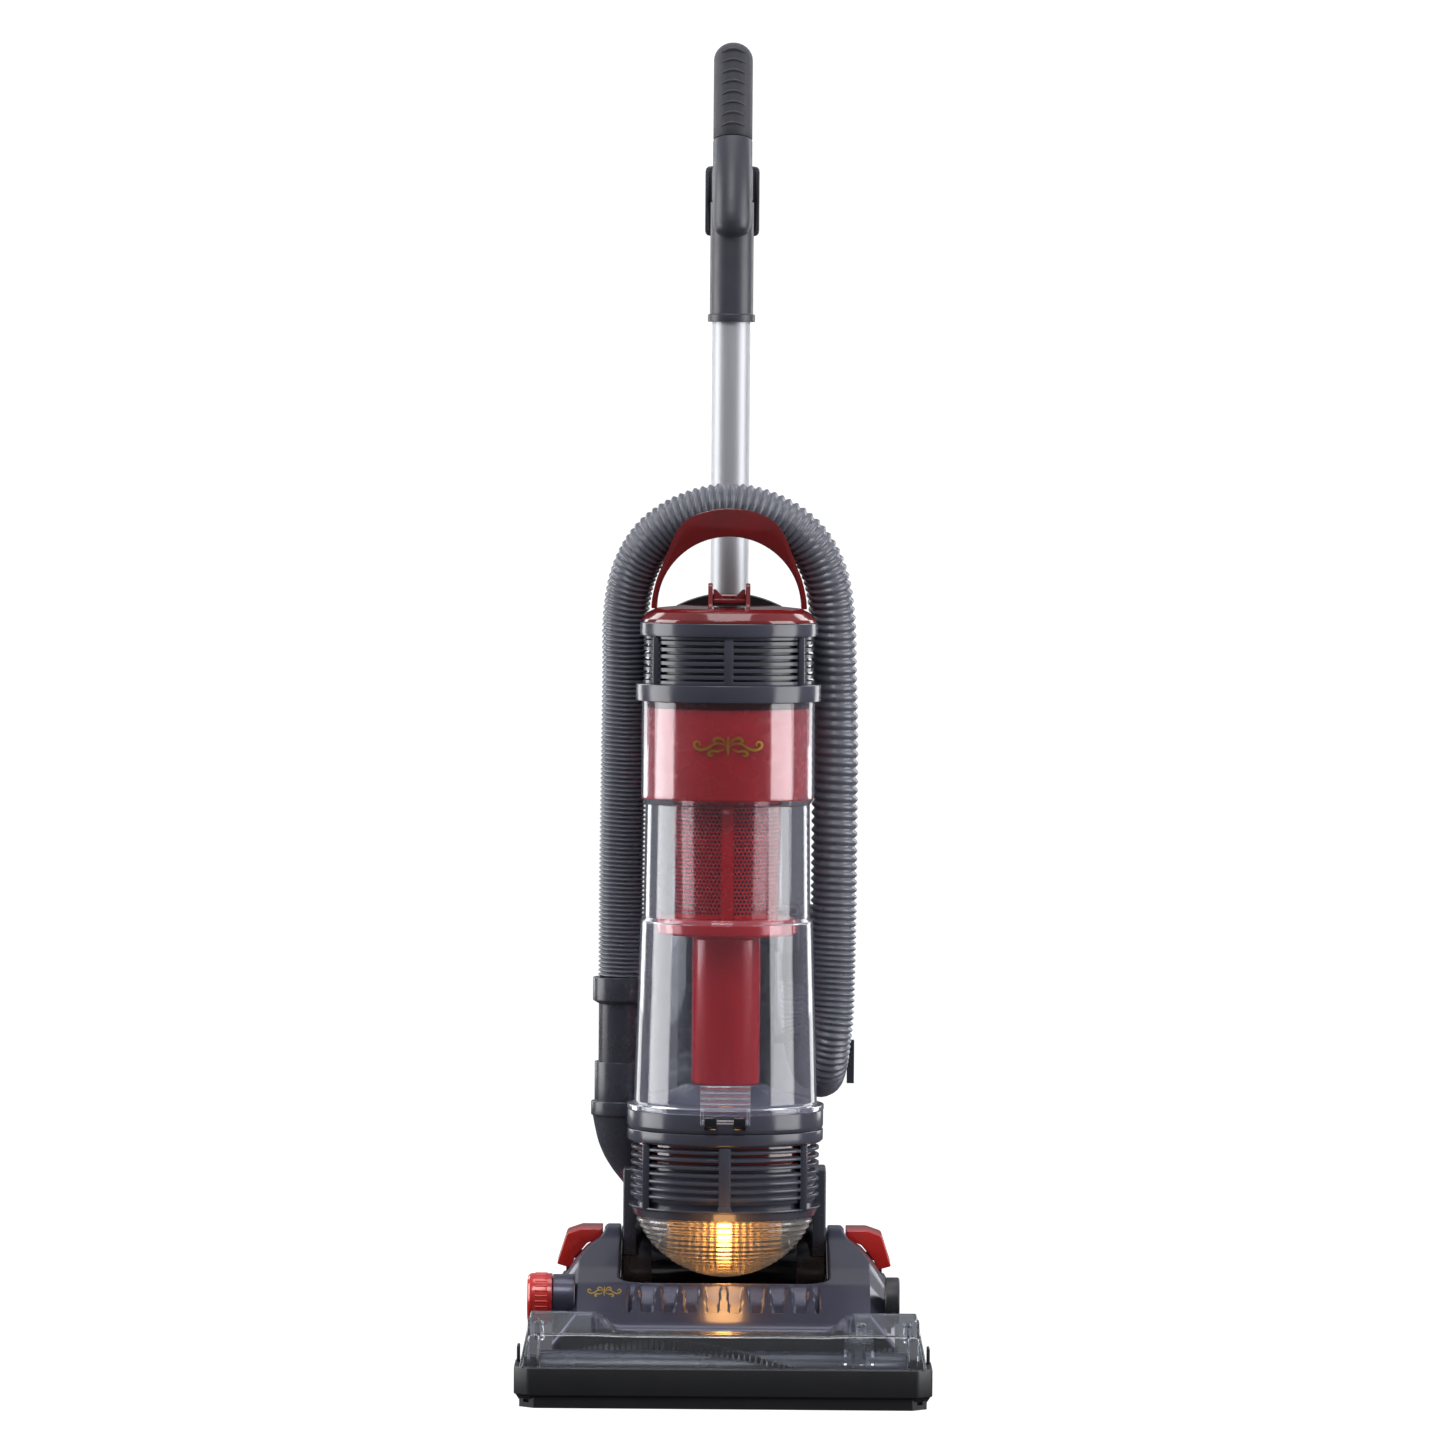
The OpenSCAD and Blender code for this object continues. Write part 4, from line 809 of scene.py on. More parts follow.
def soft_level(line, x, reach):
    """Height of the line with its corners eased over the reach either side."""
    spots = [x + reach * (k / 4 - 1) for k in range(9)]
    return sum(level_at(line, s) for s in spots) / len(spots)


def roll_off(distance, radius):
    """How far a rounded lip has dropped at a distance inside its edge."""
    if distance >= radius:
        return 0.0
    inside = radius - max(distance, 0.0)
    return radius - math.sqrt(max(radius * radius - inside * inside, 0.0))


def notch_distance(x, y):
    """Distance outwards from the notch's rounded outline."""
    across = abs(x) - (NOTCH_HALF - NOTCH_R)
    ahead = NOTCH_FRONT + NOTCH_R - y
    outside = math.hypot(max(across, 0.0), max(ahead, 0.0))
    return outside + min(max(across, ahead), 0.0) - NOTCH_R


def nose_y(x):
    """Front edge of the cover at x: the nose in the middle, the shoulders beside it."""
    rise = ease((abs(x) - NOSE_HALF) / (SHOULDER - NOSE_HALF))
    return NOSE_TIP + (SHOULDER_Y - NOSE_TIP) * rise


def flute_depth(x, y):
    """How deep the scoop between two fins is."""
    reach = (y - FLUTE_FOOT) / (FLUTE_TOP - FLUTE_FOOT)
    if not -0.06 < reach < 1:
        return 0.0
    deep = 5.4 * ease((1 - reach) * 1.7) * ease((reach + 0.04) * 14)
    nearest = min(abs(x - (i - (FLUTES - 1) / 2) * FLUTE_PITCH) for i in range(FLUTES))
    fin = 1.3 + 2.6 * (1 - reach)
    end = (FLUTES - 1) / 2 * FLUTE_PITCH + 5.0
    return deep * ease((nearest - fin) / 1.8) * (1 - ease((abs(x) - end) / 2.5))


def cover_height(x, y):
    """Height of the cover's skin."""
    spine = soft_level(COVER_SPINE, y, 4.0)
    side = soft_level(COVER_FLANK, abs(x), 2.0)
    facet = max(abs(x) - FACET_X, 0.0) * FACET_FALL * (1 - ease((y + 30) / 60))
    height = min(spine - facet, side)
    if abs(x) > PEDAL_LOW.x - 0.9 and y > PEDAL_LOW.y - 1.2:
        height = min(height, PEDAL_LOW.z - 8.0)
    height -= flute_depth(x, y)
    height -= roll_off(y - nose_y(x), 4.0)
    return height - roll_off(notch_distance(x, y), 1.6)


def cover_foot(_x, y):
    """Lower edge of the cover's side walls, with an arch over each rear wheel."""
    reach = WHEEL_R + 2.5
    if abs(y - WHEEL_Y) < reach:
        return max(21.0, WHEEL_R + math.sqrt(reach * reach - (y - WHEEL_Y) ** 2))
    return 21.0 if y < WHEEL_Y else WHEEL_R * 2 + 6


EDGE_NEAR = (0.0, 0.005, 0.014, 0.028, 0.05)
EDGE_FAR = (0.955, 0.975, 0.99, 1.0)


def spaced(count):
    """Shares from 0 to 1 that are closer together at both ends."""
    middle = [0.05 + (0.955 - 0.05) * k / count for k in range(1, count)]
    return list(EDGE_NEAR) + middle + list(EDGE_FAR)


def make_cover():
    """The metallic cover: a nose with fluted scoops, two humps beside the notch and side walls."""
    half = COVER_HIGH.x
    side_shares = spaced(56)
    mid_columns = 128
    points, index, faces = [], {}, []

    def at(key, x, y, z=None):
        if key not in index:
            index[key] = len(points)
            points.append((x, y, cover_height(x, y) if z is None else z))
        return index[key]

    inner = NOTCH_HALF - NOTCH_R
    front_rows = spaced(60)
    columns = [("l", s) for s in reversed(side_shares)]
    columns += [("m", k / mid_columns) for k in range(1, mid_columns)]
    columns += [("r", s) for s in side_shares]

    def column_x(column, y):
        kind, share = column
        if kind == "m":
            return -inner + 2 * inner * share
        edge = inner if y <= NOTCH_FRONT + 1e-6 else NOTCH_HALF
        if NOTCH_FRONT < y < NOTCH_FRONT + NOTCH_R:
            edge = inner + math.sqrt(NOTCH_R ** 2 - (NOTCH_FRONT + NOTCH_R - y) ** 2)
        x = edge + (half - edge) * share
        return x if kind == "r" else -x

    def grid_row(name, place):
        return [at((name, i), *place(column)) for i, column in enumerate(columns)]

    rows = []
    for j, share in enumerate(front_rows):
        def place(column, share=share):
            x = column_x(column, FRONT)
            edge = nose_y(x)
            return x, edge + (NOTCH_FRONT - edge) * share
        rows.append(grid_row(("front", j), place))
    for a, b in zip(rows, rows[1:]):
        faces += [(a[i], a[i + 1], b[i + 1], b[i]) for i in range(len(columns) - 1)]
    front_edge, notch_edge = rows[0], rows[-1]

    back_ys = [NOTCH_FRONT + 20 * (1 - math.cos(math.pi / 2 * k / 10)) for k in range(1, 11)]
    straight = [NOTCH_FRONT + 20 + 2.6 * k for k in range(1, 200)]
    back_ys += [y for y in straight if y < COVER_HIGH.y - 1]
    back_ys += [PEDAL_LOW.y - 1.5, PEDAL_LOW.y - 1.0, COVER_HIGH.y]
    back_ys.sort()
    n = len(side_shares)
    sides = [range(n), range(len(columns) - n, len(columns))]
    last = notch_edge
    outer_lines = [[front_edge[0]], [front_edge[-1]]]
    for row in rows[1:]:
        outer_lines[0].append(row[0])
        outer_lines[1].append(row[-1])
    notch_lines = [[notch_edge[n - 1]], [notch_edge[-n]]]
    for j, y in enumerate(back_ys):
        row = [None] * len(columns)
        for side in sides:
            for i in side:
                row[i] = at(("back", j, i), column_x(columns[i], y), y)
            for i in list(side)[:-1]:
                faces.append((last[i], last[i + 1], row[i + 1], row[i]))
        outer_lines[0].append(row[0])
        outer_lines[1].append(row[-1])
        notch_lines[0].append(row[n - 1])
        notch_lines[1].append(row[-n])
        last = row
    back_lines = [[last[i] for i in side] for side in sides]

    def wall(line, foot, flip):
        """A wall from the skin's edge down to the foot."""
        below = []
        for i in line:
            x, y, z = points[i]
            below.append(at(("foot", i, flip), x, y, min(foot(x, y), z - 0.5)))
        for k in range(len(line) - 1):
            quad = (line[k], below[k], below[k + 1], line[k + 1])
            faces.append(quad if flip else quad[::-1])

    wall(outer_lines[0], cover_foot, True)
    wall(outer_lines[1], cover_foot, False)
    wall(front_edge, lambda x, y: 58.5, False)
    wall(notch_lines[0], lambda x, y: PAN_HIGH.z - 3, False)
    wall(notch_lines[1], lambda x, y: PAN_HIGH.z - 3, True)
    wall(notch_edge[n - 1:len(columns) - n + 1], lambda x, y: PAN_HIGH.z - 3, True)
    wall(back_lines[0], cover_foot, True)
    wall(back_lines[1], cover_foot, True)

    cover = tidy(solid("cover_skin", points, faces), 0.001)
    top = max(cover.data.polygons, key=lambda p: p.center.z if abs(p.normal.z) > 0.9 else 0)
    if top.normal.z < 0:
        cover.data.flip_normals()
    shell = cover.modifiers.new("wall", "SOLIDIFY")
    shell.thickness = COVER_T * MM
    shell.offset = -1.0
    settle(cover)
    neck = rod("knob_neck", "x", -half - 0.3, -half + 18, (KNOB_Y, KNOB_Z), KNOB_R - 0.7, 1.2)
    return smooth(join("metallic_head_cover", cover, neck), 40.0)


piece(make_cover(), "head", "cover_metallic", "cover", "head_cover")


def plan_outline(half, front, corner, back):
    """Plan of the head's front, with its two corners cut off and eased."""
    return rounded([(-half, back), (-half, front + corner, 6), (-half + corner, front, 6),
                    (half - corner, front, 6), (half, front + corner, 6), (half, back)])


def make_bumper():
    """The textured band round the head's front, with a raised ear at each end."""
    half, back = HEAD_HIGH.x, HEAD_HIGH.y
    outer = plan_outline(half, FRONT, 12.0, back)
    inner = plan_outline(half - 4.4, FRONT + 3.6, 11.4, back)
    band = pulled("band", outer + inner[::-1], "z", HEAD_LOW.z + 0.3, 33.0, 1.1, 3)
    parts = [band]
    for side in (-1, 1):
        x = sorted((side * (half - 4), side * (half - 1.5)))
        parts.append(brick("ear", (x[0], back - 21, 31), (x[1], back - 0.2, HEAD_HIGH.z), 1.0, 3))
    return smooth(join("front_bumper", *parts))


piece(make_bumper(), "head", "black_plastic", "bumper", "bumper")


def make_skirt():
    """The base's visible foot, drawn in towards the floor under the bumper."""
    rings = []
    for z, shrink in ((0.2, 8.0), (0.9, 7.2), (9.4, 1.6), (9.9, 2.6)):
        plan = plan_outline(HEAD_HIGH.x - shrink, FRONT + 1.0 + shrink, 13.0 - shrink / 3, FRONT + 66)
        rings.append([(x, y, z) for x, y in plan])
    inner = plan_outline(HEAD_HIGH.x - 12, FRONT + 13, 10.0, FRONT + 66)
    rings.insert(0, [(x, y, 0.2) for x, y in inner])
    rings.append([(x, y, 9.9) for x, y in inner])
    skirt = skin("base_skirt", rings + [rings[0]], False)
    return smooth(skirt)


piece(make_skirt(), "head", "black_plastic", "base")


def window_half(z):
    """Half the window's width at a height."""
    return WINDOW_HIGH.x - 8.5 * (z - WINDOW_LOW.z) / (WINDOW_HIGH.z - WINDOW_LOW.z)


def window_section(x):
    """Section of the window's skin: front foot, top edge, rear edge and a short drop."""
    rise = ease((abs(x) - NOSE_HALF) / (SHOULDER - NOSE_HALF))
    back = nose_y(x) - 0.7 if rise < 1 else WINDOW_HIGH.y
    back = back + (WINDOW_HIGH.y - back) * rise
    top = 61.4 + (WINDOW_HIGH.z - 0.3 - 61.4) * rise
    drop = 2.0 + 12.0 * rise
    front = WINDOW_LOW.y
    return rounded([(front, WINDOW_LOW.z), (front + 9.0, 59.6, 4.0), (back, top, 2.4 * rise + 0.2),
                    (back + 0.02, top - drop)], steps=5)


def make_window():
    """The clear window over the brush: a moulded box whose ends stand up as shoulders."""
    steps = 120
    rings = []
    for i in range(steps + 1):
        share = -1 + 2 * i / steps
        ring = []
        for y, z in window_section(share * WINDOW_HIGH.x):
            ring.append((share * window_half(z), y, z))
        rings.append(ring)
    n = len(rings[0])
    points = [p for ring in rings for p in ring]
    faces = [(i * n + k, (i + 1) * n + k, (i + 1) * n + k + 1, i * n + k + 1)
             for i in range(steps) for k in range(n - 1)]
    for end in (0, steps):
        first = len(points)
        points += [(math.copysign(window_half(z), rings[end][0][0]), WINDOW_HIGH.y - 10, z)
                   for z in (56, WINDOW_LOW.z)]
        faces.append(tuple([end * n + k for k in range(n)] + [first, first + 1]))
    window = tidy(solid("brush_window_skin", points, faces), 0.001)
    highest = max(window.data.polygons, key=lambda p: p.center.z * (abs(p.normal.z) > 0.5))
    if highest.normal.z < 0:
        window.data.flip_normals()
    bevelled(window, 2.6, 3, 50.0)
    shell = window.modifiers.new("wall", "SOLIDIFY")
    shell.thickness = 2.5 * MM
    shell.offset = -1.0
    settle(window)
    bosses = [rod("boss", "z", 52, 67.5, (x, FRONT + 31), 4.2, 1.2, 32) for x in (112.0, 150.0, -150.0)]
    ribs = []
    for x in (-158.0, -150.0, 150.0, 158.0):
        ribs.append(brick("rib", (x - 0.9, FRONT + 9, 36), (x + 0.9, FRONT + 33, 71), 0.5))
    return smooth(join("clear_brush_window", window, *bosses, *ribs), 38.0)


piece(make_window(), "head", "clear_plastic", "window", "brush_window")


def lay_along_x(obj, centre):
    """Turns what was made round the Z axis to lie round the X axis through centre."""
    spin = Matrix(((0, 0, 1, 0), (1, 0, 0, 0), (0, 1, 0, 0), (0, 0, 0, 1)))
    obj.data.transform(Matrix.Translation(Vector((0, centre[0], centre[1])) * MM) @ spin)
    return obj


def tuft():
    """A tuft of stiff bristles pointing out along X."""
    points, faces = [], []
    for k in range(9):
        y, z = 1.3 * math.cos(k * 2.4) * (k / 9) ** 0.5, 1.3 * math.sin(k * 2.4) * (k / 9) ** 0.5
        first = len(points)
        reach = 8.4 + 0.5 * math.cos(k * 1.7)
        for x, size, lean in ((-0.8, 0.32, 1.0), (reach, 0.24, 1.7)):
            points += [(x, y * lean + size * a, z * lean + size * b)
                       for a, b in ((-1, -1), (1, -1), (1, 1), (-1, 1))]
        faces += [(first + m, first + (m + 1) % 4, first + 4 + (m + 1) % 4, first + 4 + m) for m in range(4)]
        faces.append((first + 4, first + 5, first + 6, first + 7))
    return tidy(solid("tuft", points, faces), 0.0001)


BELT_LOW, BELT_HIGH = box_mm("drive_belt")
BELT_X = (BELT_LOW.x + BELT_HIGH.x) / 2
TUFT_PITCH = 4.6
TUFT_TWIST = TUFT_PITCH * TURN / 480.0


def make_roll():
    """The roll: two lengths of dowel either side of the belt's groove, on a pin."""
    low, high = box_mm("brush_dowel")
    ends = (low.x + 10.5, BELT_X - 5, BELT_X + 5, high.x - 10.5)
    parts = [rod("dowel", "x", ends[0], ends[1], (ROLL_Y, ROLL_Z), ROLL_R, 1.5),
             rod("groove", "x", ends[1] - 0.2, ends[2] + 0.2, (ROLL_Y, ROLL_Z), 12.0, 0.0),
             rod("dowel", "x", ends[2], ends[3], (ROLL_Y, ROLL_Z), ROLL_R, 1.5),
             rod("pin", "x", low.x, high.x, (ROLL_Y, ROLL_Z), 4.0, 0.5, 24)]
    return smooth(join("brush_roll_dowel", *parts))


def make_bristles():
    """Two spirals of tufts that leave the belt's place free."""
    low, high = box_mm("brush_bristles")
    groups = ((low.x + 4, BELT_X - 17), (BELT_X + 17, high.x - 4))
    parts = []
    for first, last in groups:
        rows = int((last - first) / TUFT_PITCH) + 1
        parts.append(repeated("tufts", tuft(), "bristle", 2, rows, ROLL_R, foot=(0, 0, first),
                              pitch=TUFT_PITCH, twist=TUFT_TWIST,
                              start=TURN / 2 + (first - 75.0) * TUFT_TWIST / TUFT_PITCH))
    tufts = join("spiral_bristles", *parts)
    return lay_along_x(tufts, (ROLL_Y, ROLL_Z))


piece(make_roll(), "brush_roll", "dark_grey_plastic", "dowel", "brush_dowel")
piece(make_bristles(), "brush_roll", "bristle", "bristle", "brush_bristles")


def make_knob():
    """The height knob: a chamfered red drum with fine ribs round its side, on a shaft."""
    drum = rod("drum", "x", KNOB_LOW.x, -COVER_HIGH.x - 0.3, (KNOB_Y, KNOB_Z), KNOB_R, 5.0, 72)
    shaft = rod("shaft", "x", -COVER_HIGH.x - 1, KNOB_HIGH.x, (KNOB_Y, KNOB_Z), 4.0, 0.4, 32)
    ribs = repeated("ribs", rod("rib", "z", 4.5, 14.5, (0, 0), 0.9, 0.4, 12), "red", 30, 1, KNOB_R - 0.35)
    ribs = lay_along_x(ribs, (KNOB_Y, KNOB_Z))
    for vertex in ribs.data.vertices:
        vertex.co.x -= (COVER_HIGH.x + 19) * MM
    return smooth(join("height_knob_drum", drum, shaft, ribs))


def make_knob_marks():
    """A plain strip round the knob, in the darker red; no setting marks are drawn on it."""
    strip = lay_along_x(hoop("strip", KNOB_R - 0.15, KNOB_R - 1.2, 0, 4.2, (0, 0), 0.1), (KNOB_Y, KNOB_Z))
    for vertex in strip.data.vertices:
        vertex.co.x -= (COVER_HIGH.x + 4.9) * MM
    strip.name = "height_knob_band"
    return strip


piece(make_knob(), "height_knob", "red_plastic", "red", "height_knob")
piece(make_knob_marks(), "height_knob", "black_plastic", "deep_red")


def make_pedal(name, side):
    """A foot pedal: a crowned red plate that turns down outside the cover."""
    low, high = PEDAL_LOW, PEDAL_HIGH
    outline = rounded([(low.x, low.z + 25), (low.x, high.z - 0.2, 1), (119, high.z - 0.2, 8),
                       (131.6, 120.5, 4), (high.x - 3.2, low.z + 3.2, 1.5),
                       (high.x - 14.6, low.z, 1.5), (124.8, 100.5, 3), (114.5, 113, 4)], steps=4)
    outline = [(side * x, z) for x, z in outline]
    plate = pulled("plate", outline, "y", low.y - 0.9, high.y - 0.1, 1.5, 3)
    x = sorted((side * (low.x + 19.2), side * (low.x + 25.8)))
    post = brick("post", (x[0], low.y + 0.8, high.z - 25), (x[1], low.y + 8.2, high.z - 8), 0.5)
    return smooth(join(name, plate, post))


piece(make_pedal("power_pedal_plate", 1), "power_pedal", "red_plastic", "red", "power_pedal")
piece(make_pedal("release_pedal_plate", -1), "release_pedal", "red_plastic", "red", "release_pedal")


def make_side_cap():
    """The black cap over the belt's end."""
    return rod("belt_side_cap", "x", CAP_LOW.x - 3.0, CAP_HIGH.x, (KNOB_Y, KNOB_Z), 19.9, 2.0)


piece(make_side_cap(), "head", "black_plastic", "bumper", "side_cap")


def make_wheel(name):
    """A rear wheel: a soft tyre with a grooved tread round a dished hub."""
    low, high = box_mm(name)
    width, inner, r = high.x - low.x, WHEEL_R - 9, WHEEL_R
    z = [0, width]
    tread = [(inner, z[0], 1), (r - 2, z[0], 2)]
    for k in range(4):
        start = 3.5 + k * (width - 7) / 4
        tread += [(r, start, 0.5), (r, start + 3.4, 0.5), (r - 1.2, start + 3.7), (r - 1.2, start + 4.3)]
    tread += [(r - 2, z[1], 2), (inner, z[1], 1)]
    tyre = lay_along_x(turned("tyre", tread, (0, 0)), (WHEEL_Y, WHEEL_R))
    hub = lay_along_x(turned("hub", [(4.05, 1), (9, 1, 1), (11, 5, 1), (inner - 3, 5, 1), (inner, 1.5, 0.6),
                                     (inner, width - 1.5, 0.6), (inner - 3, width - 5, 1), (11, width - 5, 1),
                                     (9, width - 1, 1), (4.05, width - 1)], (0, 0)), (WHEEL_Y, WHEEL_R))
    for part in (tyre, hub):
        for vertex in part.data.vertices:
            vertex.co.x += low.x * MM
    return tyre, hub


for wheel_name in ("wheel_left", "wheel_right"):
    wheel_tyre, wheel_hub = make_wheel(wheel_name)
    wheel_tyre.name = wheel_name + "_tyre"
    wheel_hub.name = wheel_name + "_hub"
    piece(wheel_tyre, wheel_name, "soft_rubber", "tyre", wheel_name)
    piece(wheel_hub, wheel_name, "dark_grey_plastic", "housing")


def make_well():
    """The black lining of the notch: walls that stand just inside the cover's edge."""
    walls = []
    for side in (-1, 1):
        points, faces = [], []
        ys = [-44 + 4 * k for k in range(41)]
        for k, y in enumerate(ys):
            top = cover_height(NOTCH_HALF + 2.5, y) - 2.2
            for x in (side * (PAN_HIGH.x - 1.1), side * (PAN_HIGH.x - 0.2)):
                points += [(x, y, PAN_HIGH.z - 1), (x, y, top)]
        for k in range(len(ys) - 1):
            a, b = 4 * k, 4 * k + 4
            faces += [(a, b, b + 1, a + 1), (a + 2, a + 3, b + 3, b + 2), (a + 1, b + 1, b + 3, a + 3),
                      (a, a + 2, b + 2, b)]
        last = 4 * (len(ys) - 1)
        faces += [(0, 1, 3, 2), (last, last + 2, last + 3, last + 1)]
        walls.append(tidy(solid("lining", points, faces)))
    return smooth(join("notch_lining", *walls))


piece(make_well(), "head", "black_plastic", "gloss_black")


# ---- gilt ornaments ----

def ribbon(name, line, place, width=0.9):
    """A flat gilt stroke along a line of (u, v), laid on a surface by place(u, v, lift)."""
    points, faces = [], []
    steps = curve_through([(u, v, 0.0) for u, v in line], 8)
    for i, p in enumerate(steps):
        along = steps[min(i + 1, len(steps) - 1)] - steps[max(i - 1, 0)]
        across = Vector((-along.y, along.x, 0)).normalized()
        share = i / (len(steps) - 1)
        half = width * (0.25 + 0.75 * math.sin(math.pi * share)) / 2
        for side, lift in ((1, 0.0), (1, 0.12), (-1, 0.12), (-1, 0.0)):
            q = p + across * half * side
            points.append(place(q.x, q.y, lift))
    for i in range(len(steps) - 1):
        a, b = 4 * i, 4 * i + 4
        faces += [(a + m, b + m, b + (m + 1) % 4, a + (m + 1) % 4) for m in range(4)]
    last = 4 * (len(steps) - 1)
    faces += [(0, 1, 2, 3), (last + 3, last + 2, last + 1, last)]
    return tidy(solid(name, points, faces), 0.0005)


def flourish(name, place, size):
    """A symmetrical scroll: two long curls, two short curls and a lozenge between them."""
    strokes = []
    for side in (-1, 1):
        long_curl = [(1, 0), (5, 2.6), (11, 2.4), (17, -1.2), (23, -2.6), (28, -0.4), (28.4, 3), (25.4, 4.2),
                     (23.4, 2.2), (25, 0.8)]
        short_curl = [(3, -1.6), (8, -3.6), (13, -3.4), (16.4, -5.4), (14.4, -7.4), (12, -6.2)]
        crest = [(2, 2.6), (5, 6.4), (10, 7), (12, 4.6), (9.6, 3.6)]
        for stroke in (long_curl, short_curl, crest):
            line = [(side * u * size, v * size) for u, v in stroke]
            strokes.append(ribbon("stroke", line, place, 2.1 * size))
    bar = [(0, v * size) for v in (-7, -2, 2, 8.5)]
    strokes.append(ribbon("bar", bar, place, 2.6 * size))
    return join(name, *strokes)


def on_cover(u, v, lift):
    """A point of the cover's left hump, u across and v up its slope."""
    x, y = -98.0 + u, -85.0 + v * 1.9
    return x, y, cover_height(x, y) + 0.05 + lift


piece(flourish("cover_gilt_flourish", on_cover, 0.47), "head", "cover_metallic", "gold")


# ---- motor housing and its fork ----

VENT_LOW, VENT_HIGH = box_mm("vent_grille")
HOUSING_LOW, HOUSING_HIGH = box_mm("lower_housing")
LENS_LOW, LENS_HIGH = box_mm("headlight_lens")
YOKE_LOW, YOKE_HIGH = box_mm("yoke_right")
PORT_TOP = box_mm("port_elbow")[1].z
ELBOW_LOW = box_mm("inlet_elbow")[0]
VENT_R = VENT_HIGH.x
VENT_BACK = VENT_HIGH.y
LENS_R = 80.0
LENS_Z = LENS_HIGH.z + 27.8
PIVOT_Y, PIVOT_Z = WHEEL_Y - 20.0, (YOKE_LOW.z + 25.0)
VENT_HALF = math.pi / 2 + math.asin((VENT_BACK - BIN_Y) / VENT_R)
VENT_SWEEP = (-math.pi / 2 - VENT_HALF, -math.pi / 2 + VENT_HALF)
SLATS = 7
SLAT_PITCH = 6.45


def quarter(radius, height, steps):
    """Outline of a quarter of a ball, from its widest level up to its top."""
    angles = [math.pi / 2 * k / steps for k in range(1, steps + 1)]
    return [(radius * math.cos(a), height + radius * math.sin(a)) for a in angles]


def behind(obj, y):
    """Keeps only what is in front of y."""
    return cut(obj, brick("knife", (-300, y, -20), (300, 400, 1400), 0.0))


def make_housing():
    """The housing's flared foot, its chamber, the deck that carries the bin, and the shell behind."""
    r, low, high = VENT_R, VENT_LOW.z, VENT_HIGH.z
    foot = turned("foot", [(70, HOUSING_LOW.z), (r - 3.2, HOUSING_LOW.z, 0.8), (r - 1.0, low - 1.4, 0.8),
                           (r + 0.9, low - 0.6, 0.5), (r + 0.9, low + 1.0, 0.5), (70, low + 1.0)], BIN_AXIS)
    chamber = hoop("chamber", 72.6, 69.6, low, high, BIN_AXIS, 0.2)
    rim = HOUSING_HIGH.x
    deck = turned("deck", [(60, high), (rim - 2.2, high, 0.6), (rim - 0.2, high + 1.8, 0.8),
                           (rim - 0.05, HOUSING_HIGH.z, 0.9), (60, HOUSING_HIGH.z)], BIN_AXIS)
    shell = hoop("shell", r, 72, low, high, BIN_AXIS, 0.8)
    cut(shell, brick("knife", (-200, -200, 0), (200, VENT_BACK + 0.2, 400), 0.0))
    block = brick("block", (-38, BIN_Y + 52, low - 7.4), (38, HOUSING_HIGH.y, HOUSING_HIGH.z - 0.4), 2.0)
    return join("motor_housing", foot, chamber, deck, shell, block)


def make_vents():
    """Seven slats with a bevelled post in the middle and one near each side."""
    low, high = VENT_LOW.z, VENT_HIGH.z
    rings = []
    for k in range(SLATS):
        z = high - 4.6 - SLAT_PITCH * k
        slat = [(73.4, z + 0.6), (VENT_R - 0.2, z - 1.6, 0.3), (VENT_R - 0.2, z + 0.7, 0.4),
                (75.2, z + 2.2), (73.4, z + 2.4)]
        rings.append(part_turned("slat", slat, BIN_AXIS, *VENT_SWEEP))
        if k > 2:
            step = [(73.0, z - 4.6), (75.4, z - 4.6), (76.3, z + 0.4), (73.0, z + 0.4)]
            rings.append(part_turned("step", step, BIN_AXIS, *VENT_SWEEP))
    slats = join("slats", *rings)
    front = BIN_Y - VENT_R
    post = pulled("post", [(-5.2, low), (5.2, low), (5.2, high), (-5.2, high)], "y",
                  front - 1.0, front + 7, 2.0, 2)
    foot = pulled("post_foot", [(-6.6, low - 0.6), (6.6, low - 0.6), (5.3, low + 5), (-5.3, low + 5)], "y",
                  front - 1.4, front + 6, 1.2, 2)
    sides = []
    for x in (-65.0, 65.0):
        y = BIN_Y - math.sqrt(VENT_R ** 2 - x * x)
        sides.append(brick("side_post", (x - 3, y - 2.6, low), (x + 3, y + 8, high), 1.0))
    return smooth(join("exhaust_vents", slats, post, foot, *sides))


def dome_outline(radius, low, high, centre_z, ribs=0.0, pitch=3.4):
    """Outline of a ball's lower part, optionally with fine level ribs."""
    start = math.asin(min(max((centre_z - low) / radius, -1), 1))
    end = math.asin((centre_z - high) / radius)
    count = 150 if ribs else 40
    line = []
    for k in range(count + 1):
        angle = start + (end - start) * k / count
        swell = ribs * (0.5 + 0.5 * math.cos(TURN * angle * radius / pitch)) - ribs
        line.append(((radius + swell) * math.cos(angle), centre_z - (radius + swell) * math.sin(angle)))
    return line


def make_lens():
    """The ribbed half dome in front of the headlight."""
    outer = dome_outline(LENS_R, LENS_LOW.z, LENS_HIGH.z - 0.2, LENS_Z, 1.3, 5.6)
    inner = dome_outline(LENS_R - 2.6, LENS_LOW.z + 2.6, LENS_HIGH.z - 0.2, LENS_Z)
    lens = turned("ribbed_headlight_lens", outer + inner[::-1], BIN_AXIS, 128)
    return smooth(behind(lens, BIN_Y), 50.0)


